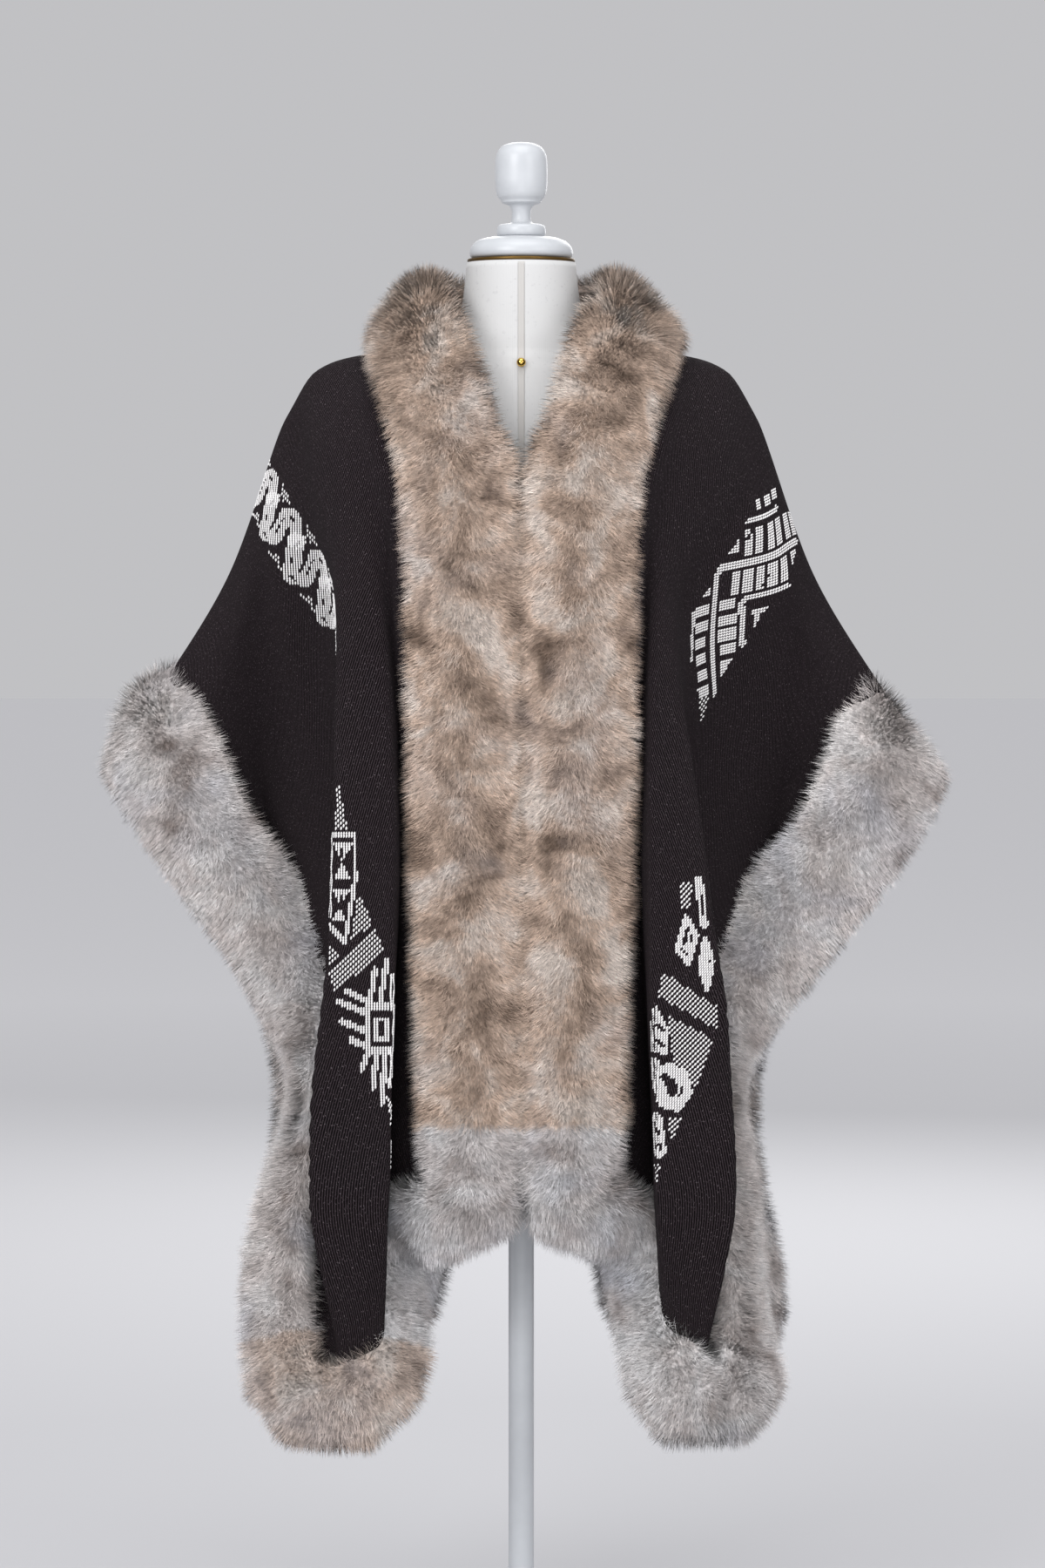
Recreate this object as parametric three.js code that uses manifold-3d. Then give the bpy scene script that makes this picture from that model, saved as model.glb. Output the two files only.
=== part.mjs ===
// A fur-trimmed ruana: two woven panels, open down the front, worn on a limbless dress form.
// Millimetres, +Z up, the front faces -Y, and the origin is the centre of the base's underside.
// Lengths named "out" run from the centre line to either side, "reach" from the shoulder line
// towards the front or the back, and "up" from the floor.
import * as THREE from 'three';
import { mergeVertices } from 'three/addons/utils/BufferGeometryUtils.js';
import Module from 'manifold-3d';

// ---------- driving dimensions ----------
const PANEL_HALF = 900;         // from the shoulder line to either hem
const CLOTH_WALL = 2.4;
const CENTRE_GAP = 0.2;         // half the gap between what meets on the centre line
const SEAM_GAP = 0.3;           // between two pieces of fur
const CLOTH_GAP = 0.4;          // between the cloth and its fur
const FUR_REACH = 57;           // the trim's half width, beyond the cloth's edge
const FUR_THICK = 23;           // half the trim's thickness
const FUR_PRESSED = 7;          // its depth below the edge where it lies on the form or in the wing
const COLLAR_LOFT = 34;         // its depth above the edge round the neck
const COLLAR_SLOPE = THREE.MathUtils.degToRad(50);   // how steeply the collar stands round the neck
const WING_REACH = { left: 58, right: 63 };
const APEX_REACH = 76;          // the trim's width over the cloth where the side edge turns back
const FUR_STEP = 39;            // spacing of the trim's sections
const FUR_SIDES = 10;
const CORNER_ROUNDING = 52;     // how far a trim is averaged along itself to round its corners
const BEND_ROOM = 0.7;          // the trim's most reach into a bend, as a share of the bend's radius
const TIP_REACH = 22;           // the trim's width over the cloth where it wraps a hanging tip
const FOLD_STEPS = 3;           // cloth columns between two folds
const CLOTH_STEP = 53;          // spacing of the cloth's rows

const BASE_RADIUS = 190;
const BASE_THICK = 14;
const POLE_RADIUS = 13;
const TORSO_FOOT = 700;         // underside of the form
const NECK_TOP = 1446;
const CAP_FOOT = 1450;
const TAPE_WIDTH = 6.6;
const PIN_RADIUS = 4.6;
const PIN_HEIGHT = 1343;

// ---------- the folds of the cloth ----------
// A fold line runs over the shoulder from the back hem to the front hem. Each row is one fold, from
// the opening to the side edge, and gives [out, reach, up] at stations along the panel.
const STATIONS = { shoulder: 0, yoke: 0.10, chest: 0.28, waist: 0.58, skirt: 0.86, hem: 1 };

const SHOULDER = {
  opening:    [110, 0, 1394],
  trimSide:   [150, 0, 1354],
  recess:     [167, 0, 1351],
  fluteInner: [184, 0, 1347],
  fluteOuter: [207, 0, 1336],
  valley:     [237, 2, 1290],
  wing:       [296, 16, 1134],
  sideEdge:   [396, 26, 1000],
};

const FRONT_LEFT = {
  //            yoke             chest             waist            skirt            hem
  opening:    [[98, 80, 1352],  [61, 138, 1185],  [58, 142, 900],  [51, 140, 640],  [48, 138, 508]],
  trimSide:   [[150, 88, 1310], [121, 129, 1178], [113, 134, 893], [98, 131, 625],  [98, 120, 500]],
  recess:     [[167, 78, 1300], [134, 122, 1160], [119, 122, 875], [135, 88, 600],  [142, 88, 458]],
  fluteInner: [[185, 67, 1290], [148, 126, 1150], [125, 164, 858], [130, 171, 540], [138, 130, 356]],
  fluteOuter: [[207, 52, 1272], [182, 106, 1132], [186, 152, 838], [208, 165, 520], [164, 152, 318]],
  valley:     [[236, 30, 1212], [190, 62, 1070],  [160, 90, 798],  [172, 108, 470], [190, 154, 306]],
  wing:       [[288, 12, 1062], [254, -6, 905],   [196, 64, 705],  [200, 100, 430], [214, 144, 318]],
  sideEdge:   [[340, 6, 896],   [250, 16, 768],   [204, 60, 640],  [232, 104, 404], [230, 124, 350]],
};

const FRONT_RIGHT = {
  opening:    [[98, 80, 1352],  [60, 138, 1185],  [58, 142, 900],  [51, 140, 640],  [47, 138, 512]],
  trimSide:   [[148, 88, 1310], [118, 128, 1176], [111, 134, 893], [98, 131, 625],  [92, 118, 504]],
  recess:     [[162, 80, 1300], [126, 116, 1150], [117, 118, 870], [130, 88, 600],  [134, 90, 460]],
  fluteInner: [[175, 74, 1288], [134, 118, 1132], [128, 165, 845], [133, 172, 545], [143, 125, 372]],
  fluteOuter: [[197, 58, 1266], [151, 106, 1112], [184, 150, 832], [211, 165, 525], [168, 150, 314]],
  valley:     [[236, 30, 1212], [172, 64, 1050],  [154, 92, 790],  [166, 106, 480], [190, 154, 294]],
  wing:       [[290, 12, 1062], [260, -6, 892],   [190, 64, 702],  [186, 98, 450],  [210, 144, 302]],
  sideEdge:   [[352, 6, 892],   [262, 16, 772],   [196, 58, 640],  [208, 94, 425],  [220, 124, 340]],
};

const BACK = {
  opening:    [[0, 112, 1376],  [0, 140, 1170],   [0, 150, 850],   [0, 152, 595],   [0, 150, 520]],
  trimSide:   [[76, 94, 1322],  [72, 136, 1165],  [68, 148, 845],  [66, 150, 590],  [66, 144, 514]],
  recess:     [[130, 80, 1306], [118, 120, 1150], [112, 114, 830], [110, 112, 570], [114, 106, 484]],
  fluteInner: [[166, 70, 1294], [150, 130, 1130], [138, 164, 800], [136, 170, 530], [136, 134, 380]],
  fluteOuter: [[200, 56, 1272], [188, 112, 1098], [198, 152, 780], [208, 162, 500], [164, 152, 324]],
  valley:     [[234, 36, 1210], [198, 70, 1036],  [172, 102, 728], [178, 114, 455], [190, 154, 310]],
  wing:       [[290, 44, 1062], [258, 62, 882],   [204, 92, 668],  [204, 110, 425], [214, 144, 322]],
  sideEdge:   [[346, 70, 896],  [264, 80, 768],   [216, 90, 634],  [230, 112, 408], [228, 126, 354]],
};

const FLUTE_AXIS = { out: 184, reach: 122, rise: 60 };   // a hanging tip's trim wraps this line

// the dress form's body: height, half width, half depth, and how pointed its sides are
const TORSO_SECTIONS = [
  [700, 150, 100, 1], [716, 158, 106, 1], [800, 156, 106, 1], [900, 140, 98, 1], [1000, 124, 88, 1],
  [1100, 144, 98, 1], [1180, 164, 104, 1.02], [1250, 178, 94, 1.1], [1300, 183, 82, 1.3],
  [1325, 184, 76, 1.45], [1338.5, 181, 73, 1.55], [1344.5, 174, 71, 1.6], [1347.5, 160, 70, 1.55],
  [1350, 138, 69, 1.45], [1357, 112, 66, 1.3], [1368, 84, 64, 1.12], [1384, 67, 61, 1],
  [1410, 59, 58, 1], [1446, 55, 55, 1],
];

// ---------- helpers ----------
const FOLDS = Object.keys(SHOULDER);
const LAST_FOLD = FOLDS.length - 1;
const STATION_LIST = Object.values(STATIONS);
const clamp = (value, low, high) => Math.min(high, Math.max(low, value));
const mix = (a, b, share) => a + (b - a) * share;
const smooth = (low, high, value) => THREE.MathUtils.smoothstep(value, low, high);

// A curve through given values that never overshoots them, so a fold line is a true ridge or valley.
function shapeKeeping(xs, ys) {
  const n = xs.length;
  const rise = xs.slice(1).map((x, i) => (ys[i + 1] - ys[i]) / (x - xs[i]));
  const slope = ys.map((_, i) => {
    if (i === 0) return rise[0];
    if (i === n - 1) return rise[n - 2];
    if (rise[i - 1] * rise[i] <= 0) return 0;
    return 2 / (1 / rise[i - 1] + 1 / rise[i]);
  });
  return (x) => {
    let i = 0;
    while (i < n - 2 && x > xs[i + 1]) i += 1;
    const step = xs[i + 1] - xs[i];
    const t = (x - xs[i]) / step;
    const t2 = t * t;
    const t3 = t2 * t;
    return (2 * t3 - 3 * t2 + 1) * ys[i] + (t3 - 2 * t2 + t) * step * slope[i]
      + (3 * t2 - 2 * t3) * ys[i + 1] + (t3 - t2) * step * slope[i + 1];
  };
}

// Behind the shoulder the opening runs round the neck to the nape, in a quarter of an ellipse.
function roundNeck(opening) {
  const [side, , sideUp] = SHOULDER.opening;
  const [, nape, napeUp] = BACK.opening[0];
  return [
    (turn) => side * Math.cos(turn),
    (turn) => nape * Math.sin(turn),
    (turn) => mix(sideUp, napeUp, Math.sin(turn) ** 2),
  ].map((round, axis) => (length) => {
    if (length >= 0 || length < -STATIONS.yoke) return opening[axis](length);
    return round((-length / STATIONS.yoke) * (Math.PI / 2));
  });
}

// The cloth's middle surface on one side: fold 0 to 7 across, length -1 (back hem) to 1 (front hem).
function clothSurface(front) {
  const lengths = [...STATION_LIST.slice(1).reverse().map((s) => -s), ...STATION_LIST];
  const lines = FOLDS.map((name) => {
    const [out, y, up] = SHOULDER[name];
    const places = [
      ...BACK[name].toReversed().map(([o, reach, u]) => [o, reach, u]),
      [out, y, up],
      ...front[name].map(([o, reach, u]) => [o, -reach, u]),
    ];
    return [0, 1, 2].map((axis) => shapeKeeping(lengths, places.map((place) => place[axis])));
  });
  lines[0] = roundNeck(lines[0]);
  const folds = FOLDS.map((_, i) => i);
  return (fold, length) => {
    const at = [0, 1, 2].map((axis) => shapeKeeping(folds, lines.map((line) => line[axis](length)))(fold));
    return new THREE.Vector3(Math.max(at[0], CENTRE_GAP), at[1], at[2]);
  };
}

function signedVolume(points, faces) {
  const cross = new THREE.Vector3();
  let sum = 0;
  for (const [a, b, c] of faces) sum += points[a].dot(cross.crossVectors(points[b], points[c]));
  return sum / 6;
}

function solidGeometry(points, faces) {
  const turned = signedVolume(points, faces) < 0 ? faces.map(([a, b, c]) => [a, c, b]) : faces;
  const geometry = new THREE.BufferGeometry();
  geometry.setAttribute('position', new THREE.Float32BufferAttribute(points.flatMap((p) => p.toArray()), 3));
  geometry.setIndex(turned.flat());
  return geometry;
}

// A closed solid through rings of equal length, with flat ends.
function loft(rings) {
  const count = rings[0].length;
  const points = rings.flat();
  const faces = [];
  for (let r = 0; r < rings.length - 1; r += 1) {
    for (let k = 0; k < count; k += 1) {
      const a = r * count + k;
      const b = r * count + ((k + 1) % count);
      faces.push([a, b, b + count], [a, b + count, a + count]);
    }
  }
  [0, rings.length - 1].forEach((r) => {
    const centre = new THREE.Vector3();
    rings[r].forEach((p) => centre.addScaledVector(p, 1 / count));
    points.push(centre);
    const hub = points.length - 1;
    for (let k = 0; k < count; k += 1) {
      const a = r * count + k;
      const b = r * count + ((k + 1) % count);
      faces.push(r === 0 ? [hub, b, a] : [hub, a, b]);
    }
  });
  return solidGeometry(points, faces);
}

// A closed wall on both sides of a grid of points, kept on its own side of the centre line.
function wall(grid, thickness, side) {
  const rows = grid.length;
  const columns = grid[0].length;
  const ends = (i, last) => [Math.max(i - 1, 0), Math.min(i + 1, last)];
  const layers = [1, -1].map((face) => grid.flatMap((row, r) => row.map((point, c) => {
    const [r0, r1] = ends(r, rows - 1);
    const [c0, c1] = ends(c, columns - 1);
    const along = grid[r1][c].clone().sub(grid[r0][c]);
    const across = row[c1].clone().sub(row[c0]);
    const normal = along.cross(across).normalize();
    const moved = point.clone().addScaledVector(normal, face * thickness / 2);
    moved.x = side * Math.max(moved.x * side, CENTRE_GAP);
    return moved;
  })));
  const half = rows * columns;
  const faces = [];
  const quad = (a, b, c, d) => faces.push([a, b, c], [a, c, d]);
  for (let r = 0; r < rows - 1; r += 1) {
    for (let c = 0; c < columns - 1; c += 1) {
      const a = r * columns + c;
      quad(a, a + 1, a + 1 + columns, a + columns);
      quad(a + half, a + columns + half, a + 1 + columns + half, a + 1 + half);
    }
  }
  for (let c = 0; c < columns - 1; c += 1) {
    const last = (rows - 1) * columns + c;
    quad(c, c + half, c + 1 + half, c + 1);
    quad(last, last + 1, last + 1 + half, last + half);
  }
  for (let r = 0; r < rows - 1; r += 1) {
    const a = r * columns;
    const b = a + columns - 1;
    quad(a, a + columns, a + columns + half, a + half);
    quad(b, b + half, b + columns + half, b + columns);
  }
  return solidGeometry(layers.flat(), faces);
}

// ---------- cutting ----------
const wasm = await Module();
wasm.setup();

function toSolid(geometry) {
  const plain = geometry.clone();
  ['normal', 'uv'].forEach((name) => plain.deleteAttribute(name));
  const merged = mergeVertices(plain, 1e-4);
  return new wasm.Manifold(new wasm.Mesh({
    numProp: 3,
    vertProperties: new Float32Array(merged.attributes.position.array),
    triVerts: new Uint32Array(merged.index.array),
  }));
}

function fromSolid(solid) {
  const mesh = solid.getMesh();
  const result = new THREE.BufferGeometry();
  result.setAttribute('position', new THREE.Float32BufferAttribute(mesh.vertProperties, 3));
  result.setIndex([...mesh.triVerts]);
  return result;
}

// What is left of a wall after the trims have taken their room: its largest piece, as the part
// behind the shoulder line and the part ahead of it.
function cutWall(geometry, tools, side) {
  let solid = toSolid(geometry);
  tools.forEach((tool) => { solid = solid.subtract(toSolid(tool)); });
  const [largest] = solid.decompose().sort((a, b) => b.volume() - a.volume());
  const [nearX, nearY] = SHOULDER.opening;
  const [farX, farY] = SHOULDER.sideEdge;
  const along = new THREE.Vector2(side * (farX - nearX), farY - nearY).normalize();
  const backwards = new THREE.Vector2(-along.y, along.x).multiplyScalar(side);
  const offset = backwards.dot(new THREE.Vector2(side * nearX, nearY));
  return largest.splitByPlane([backwards.x, backwards.y, 0], offset).map(fromSolid);
}

// ---------- the fur trim ----------
// Samples along one side's edge, from the nape round the front and the side to the centre back.
// Each holds the edge's point, the way to the cloth and the trim's reach from the edge four ways.
function edgeSamples(surface, wingReach) {
  const samples = [];
  const plainTrim = { inner: FUR_REACH, outer: FUR_REACH, above: FUR_THICK, below: FUR_THICK };
  const axisPoint = (p) => new THREE.Vector3(
    FLUTE_AXIS.out, Math.sign(p.y) * FLUTE_AXIS.reach, p.z + FLUTE_AXIS.rise);
  const add = (point, inside, wrap, sizes) => {
    const plain = inside.sub(point).normalize();
    const wrapped = axisPoint(point).sub(point).normalize();
    samples.push({ point, toCloth: plain.lerp(wrapped, wrap).normalize(), ...plainTrim, ...sizes });
  };
  const sweep = (from, to, steps, each) => {
    for (let i = 0; i < steps; i += 1) each(mix(from, to, i / steps));
  };
  const neck = STATIONS.yoke;
  const collar = (v) => {
    const point = surface(0, v);
    const around = new THREE.Vector3(point.x, point.y, 0).normalize();
    const standing = point.clone().addScaledVector(around, Math.cos(COLLAR_SLOPE));
    standing.z -= Math.sin(COLLAR_SLOPE);
    const inside = standing.lerp(surface(1, v), smooth(0, neck, v));
    add(point, inside, 0, {
      below: mix(FUR_PRESSED, FUR_THICK, smooth(neck, STATIONS.chest, v)),
      above: mix(COLLAR_LOFT, FUR_THICK, smooth(neck, STATIONS.chest, v)),
      outer: mix(FUR_REACH - 6, FUR_REACH, smooth(0, neck, v)),
    });
  };
  const hem = (v) => (s) => add(surface(s, v), surface(s, v * 0.9), smooth(1.2, 2.2, s), {
    inner: mix(FUR_REACH * 0.8, TIP_REACH, smooth(0.8, 2.2, s)),
  });
  const sideEdge = (v) => {
    const far = Math.abs(v);
    add(surface(LAST_FOLD, v), surface(LAST_FOLD - 0.6, v), smooth(0.74, 0.92, far), {
      inner: mix(mix(APEX_REACH, wingReach, smooth(0.02, 0.14, far)), TIP_REACH, smooth(0.4, 0.75, far)),
      outer: mix(wingReach, FUR_REACH, smooth(0.4, 0.6, far)),
      below: mix(FUR_PRESSED, FUR_THICK, smooth(0.25, 0.5, far)),
    });
  };
  sweep(-neck, 1, 140, collar);
  sweep(0, LAST_FOLD, 60, hem(1));
  sweep(1, -1, 220, sideEdge);
  sweep(LAST_FOLD, 0, 60, hem(-1));
  hem(-1)(0);
  return samples;
}

const REACHES = ['inner', 'outer', 'above', 'below'];

// The samples averaged along the edge, so that its corners are round, with their running length.
function roundedEdge(samples) {
  const run = [0];
  samples.slice(1).forEach((s, i) => run.push(run[i] + s.point.distanceTo(samples[i].point)));
  const total = run.at(-1);
  return samples.map((_, i) => {
    const window = Math.min(CORNER_ROUNDING, run[i], total - run[i]) + 0.01;
    const point = new THREE.Vector3();
    const toCloth = new THREE.Vector3();
    const sizes = { inner: 0, outer: 0, above: 0, below: 0 };
    let weight = 0;
    samples.forEach((sample, j) => {
      const share = 1 - Math.abs(run[j] - run[i]) / window;
      if (share <= 0) return;
      const length = share * ((run[j + 1] ?? run[j]) - (run[j - 1] ?? run[j]) + 0.01);
      point.addScaledVector(sample.point, length);
      toCloth.addScaledVector(sample.toCloth, length);
      REACHES.forEach((name) => { sizes[name] += sample[name] * length; });
      weight += length;
    });
    REACHES.forEach((name) => { sizes[name] /= weight; });
    return { point: point.divideScalar(weight), toCloth: toCloth.normalize(), ...sizes };
  });
}

// Evenly spaced sections of the trim with their own axes.
function trimSections(samples) {
  const edge = roundedEdge(samples);
  const run = [0];
  edge.slice(1).forEach((s, i) => run.push(run[i] + s.point.distanceTo(edge[i].point)));
  const total = run.at(-1);
  // Past either end the trim goes on as its own mirror image, which is the other side's trim.
  const at = (distance) => {
    if (distance < 0 || distance > total) {
      const twin = at(distance < 0 ? -distance : 2 * total - distance);
      twin.point.x *= -1;
      return twin;
    }
    let i = 0;
    while (i < edge.length - 2 && run[i + 1] < distance) i += 1;
    const share = clamp((distance - run[i]) / (run[i + 1] - run[i]), 0, 1);
    const sizes = REACHES.map((name) => [name, mix(edge[i][name], edge[i + 1][name], share)]);
    return {
      point: edge[i].point.clone().lerp(edge[i + 1].point, share),
      toCloth: edge[i].toCloth.clone().lerp(edge[i + 1].toCloth, share),
      ...Object.fromEntries(sizes),
    };
  };
  const section = (distance) => {
    const reach = 14;
    const here = at(distance);
    const before = at(distance - reach).point;
    const after = at(distance + reach).point;
    const tangent = after.clone().sub(before).normalize();
    const bend = after.clone().add(before).addScaledVector(here.point, -2).divideScalar(reach * reach);
    const inward = here.toCloth.addScaledVector(tangent, -here.toCloth.dot(tangent)).normalize();
    const normal = tangent.clone().cross(inward);
    const room = (direction) => BEND_ROOM / Math.max(bend.dot(direction), 1e-6);
    return {
      distance, point: here.point, tangent, inward, normal,
      inner: Math.min(here.inner, room(inward)),
      outer: Math.min(here.outer, room(inward.clone().negate())),
      above: Math.min(here.above, room(normal)),
      below: Math.min(here.below, room(normal.clone().negate())),
    };
  };
  return { total, section };
}

// One section of the trim, or of the room that the cloth leaves it.
function ring(section, shift, room) {
  return Array.from({ length: FUR_SIDES }, (_, k) => {
    const angle = (k / FUR_SIDES) * Math.PI * 2;
    const [c, s] = [Math.cos(angle), Math.sin(angle)];
    const rounded = (value) => Math.sign(value) * Math.abs(value) ** 0.75;
    const across = rounded(c) * ((c > 0 ? section.inner : section.outer) + room);
    const depth = rounded(s) * ((s > 0 ? section.above : section.below) + room);
    const p = section.point.clone().addScaledVector(section.tangent, shift)
      .addScaledVector(section.inward, across).addScaledVector(section.normal, depth);
    p.x = Math.max(p.x, CENTRE_GAP - room);
    return p;
  });
}

function trimStretch(trim, from, to, room = 0) {
  const steps = Math.max(2, Math.round((to - from) / FUR_STEP));
  const inset = SEAM_GAP / 2 - room;
  return Array.from({ length: steps + 1 }, (_, i) => {
    const shift = i === 0 ? inset : i === steps ? -inset : 0;
    return ring(trim.section(mix(from, to, i / steps)), shift, room);
  });
}

// Where the running trim first meets a condition after a given distance.
function findSeam(trim, after, test) {
  for (let d = after; d < trim.total; d += 4) if (test(trim.section(d).point)) return d;
  return trim.total;
}

const mirrored = (rings, side) => rings.map((r) => r.map((p) => new THREE.Vector3(p.x * side, p.y, p.z)));

// ---------- materials ----------
const finish = (color, roughness, metalness = 0) =>
  new THREE.MeshStandardMaterial({ color, roughness, metalness });
const WOVEN = finish('#2a2323', 0.95);
const FUR_BROWN = finish('#8d7b6c', 1);
const FUR_GREY = finish('#a9a3a3', 1);
const FORM_CLOTH = finish('#e9e7e6', 0.85);
const WHITE_PAINT = finish('#eceef0', 0.35);
const BRASS = finish('#b08d3c', 0.3, 1);
const TAPE = finish('#c9c3bd', 0.8);

const garment = new THREE.Group();
garment.name = 'fur_trimmed_ruana';

function addPiece(name, geometry, material, group = garment) {
  const mesh = new THREE.Mesh(geometry, material);
  mesh.name = name;
  group.add(mesh);
  return mesh;
}

// ---------- the garment ----------
function makeSide(side, front) {
  const sideName = side < 0 ? 'left' : 'right';
  const surface = clothSurface(front);
  const trim = trimSections(edgeSamples(surface, WING_REACH[sideName]));

  const shoulder = findSeam(trim, 0, (p) => p.y < 0);
  const colourSeam = findSeam(trim, shoulder, (p) => p.z < 590);
  const lobeEnd = findSeam(trim, colourSeam, (p) => p.z < 520 && p.x > 84);
  const frontCorner = findSeam(trim, lobeEnd, (p) => p.z < 372);
  const frontTip = findSeam(trim, frontCorner + 60, (p) => p.z > 372);
  const apex = findSeam(trim, frontTip, (p) => p.y > SHOULDER.sideEdge[1]);
  const backTip = findSeam(trim, apex, (p) => p.z < 372);
  const backCorner = findSeam(trim, backTip + 60, (p) => p.z > 384);
  const stretches = [
    ['fur_front_upper', shoulder, colourSeam, FUR_BROWN],
    ['fur_front_lower', colourSeam, lobeEnd, FUR_GREY],
    ['fur_hem_front', lobeEnd, frontCorner, FUR_GREY],
    ['fur_corner_front', frontCorner, frontTip, FUR_BROWN],
    ['fur_side_front', frontTip, apex, FUR_GREY],
    ['fur_side_back', apex, backTip, FUR_GREY],
    ['fur_corner_back', backTip, backCorner, FUR_GREY],
    ['fur_hem_back', backCorner, trim.total, FUR_GREY],
  ];
  const rooms = stretches.flatMap(([name, from, to, material]) => {
    const [fur, room] = [0, CLOTH_GAP].map((more) => loft(mirrored(trimStretch(trim, from, to, more), side)));
    addPiece(`${name}_${sideName}`, fur, material);
    return [fur, room];
  });

  const rows = Math.round((2 * PANEL_HALF) / CLOTH_STEP);
  const columns = LAST_FOLD * FOLD_STEPS;
  const grid = Array.from({ length: rows + 1 }, (_, r) => Array.from({ length: columns + 1 }, (__, c) => {
    const p = surface(c / FOLD_STEPS, mix(-1, 1, r / rows));
    return new THREE.Vector3(p.x * side, p.y, p.z);
  }));
  const collarRings = (room) => trimStretch(trim, 0, shoulder, room);
  return { side, sideName, rooms, collarRings, uncut: wall(grid, CLOTH_WALL, side) };
}

const halves = [makeSide(-1, FRONT_LEFT), makeSide(1, FRONT_RIGHT)];

// The collar's back is one piece from shoulder to shoulder: its two halves share the nape's section.
function collarBack([left, right], room = 0) {
  const near = mirrored(left.collarRings(room), left.side).toReversed();
  const far = mirrored(right.collarRings(room), right.side);
  const nape = far[0].map((p) => new THREE.Vector3(0, p.y, p.z));
  return loft([...near.slice(0, -1), nape, ...far.slice(1)]);
}
const collar = collarBack(halves);
addPiece('fur_collar_back', collar, FUR_BROWN);

const collarRoom = collarBack(halves, CLOTH_GAP);
halves.forEach(({ side, sideName, rooms, uncut }) => {
  const [behind, ahead] = cutWall(uncut, [collar, collarRoom, ...rooms], side);
  addPiece(`cloth_front_${sideName}`, ahead, WOVEN);
  addPiece(`cloth_back_${sideName}`, behind, WOVEN);
});

// ---------- the dress form ----------
const TORSO_SIDES = 28;

function torsoPoint(height, angle, lift = 0) {
  const heights = TORSO_SECTIONS.map((s) => s[0]);
  const size = [1, 2, 3].map((column) => shapeKeeping(heights, TORSO_SECTIONS.map((s) => s[column]))(height));
  const pointed = (value) => Math.sign(value) * Math.abs(value) ** size[2];
  return new THREE.Vector3(
    (size[0] + lift) * pointed(Math.sin(angle)), -(size[1] + lift) * pointed(Math.cos(angle)), height);
}

function torso() {
  const heights = TORSO_SECTIONS.flatMap(([h], i) => {
    const next = TORSO_SECTIONS[i + 1];
    return next && next[0] - h > 60 ? [h, (h + next[0]) / 2] : [h];
  });
  const rings = heights.map((h) => Array.from({ length: TORSO_SIDES }, (_, k) =>
    torsoPoint(h, (k / TORSO_SIDES) * Math.PI * 2)));
  return loft(rings);
}

// The centre-front tape lies on the form and ends under the fur.
function tape(from, to) {
  const rings = [];
  const thick = 0.8;
  for (let i = 0; i <= 16; i += 1) {
    const height = mix(from, to, i / 16);
    const y = torsoPoint(height, 0, SEAM_GAP + 0.1).y;
    const half = TAPE_WIDTH / 2;
    rings.push([
      [-half, y], [half, y], [half, y - thick], [-half, y - thick],
    ].map(([px, py]) => new THREE.Vector3(px, py, height)));
  }
  return loft(rings);
}

const turned = (profile, segments = 24) => {
  const geometry = new THREE.LatheGeometry(profile.map(([r, h]) => new THREE.Vector2(r, h)), segments);
  geometry.rotateX(Math.PI / 2);
  return geometry;
};

addPiece('form_torso', torso(), FORM_CLOTH);
addPiece('form_tape', tape(1444, 1220), TAPE);

const pin = addPiece('form_pin', new THREE.SphereGeometry(PIN_RADIUS, 14, 10), BRASS);
pin.position.set(0, torsoPoint(PIN_HEIGHT, 0, SEAM_GAP + 0.9).y - PIN_RADIUS - SEAM_GAP, PIN_HEIGHT);

addPiece('form_neck_band', turned([
  [0, NECK_TOP + SEAM_GAP], [54, NECK_TOP + SEAM_GAP], [54, CAP_FOOT - SEAM_GAP], [0, CAP_FOOT - SEAM_GAP],
]), BRASS);
addPiece('form_neck_cap', turned([
  [0, CAP_FOOT], [48, CAP_FOOT], [51.5, CAP_FOOT + 2], [52.5, CAP_FOOT + 6], [51, CAP_FOOT + 12],
  [45, CAP_FOOT + 18], [34, CAP_FOOT + 21.5], [0, CAP_FOOT + 21.5],
]), WHITE_PAINT);
const FINIAL_FOOT = CAP_FOOT + 21.8;
addPiece('form_finial', turned([
  [0, 0], [22.5, 0], [24.8, 2.5], [24.8, 9], [22.5, 12.5], [12, 13.5], [9.6, 17], [9.6, 27], [12, 32],
  [20, 34.2], [20, 36.5], [24.5, 41], [26.4, 52], [26.4, 75], [25, 84], [20.5, 91], [12, 94.5], [0, 95.5],
].map(([r, h]) => [r, h + FINIAL_FOOT])), WHITE_PAINT);
addPiece('form_pole', turned([
  [0, BASE_THICK + 26.3], [POLE_RADIUS, BASE_THICK + 26.3], [POLE_RADIUS, TORSO_FOOT - 8],
  [42, TORSO_FOOT - 7], [42, TORSO_FOOT - SEAM_GAP], [0, TORSO_FOOT - SEAM_GAP],
]), WHITE_PAINT);
addPiece('form_base', turned([
  [0, 0], [BASE_RADIUS - 2, 0], [BASE_RADIUS, 3], [BASE_RADIUS - 1, BASE_THICK - 4],
  [BASE_RADIUS - 8, BASE_THICK], [34, BASE_THICK + 3], [24, BASE_THICK + 10], [22, BASE_THICK + 26],
  [0, BASE_THICK + 26],
], 36), WHITE_PAINT);

export default garment;
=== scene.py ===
import math

import bmesh
import bpy
import numpy as np
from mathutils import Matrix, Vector
from mathutils.bvhtree import BVHTree
from mathutils.kdtree import KDTree


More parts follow.
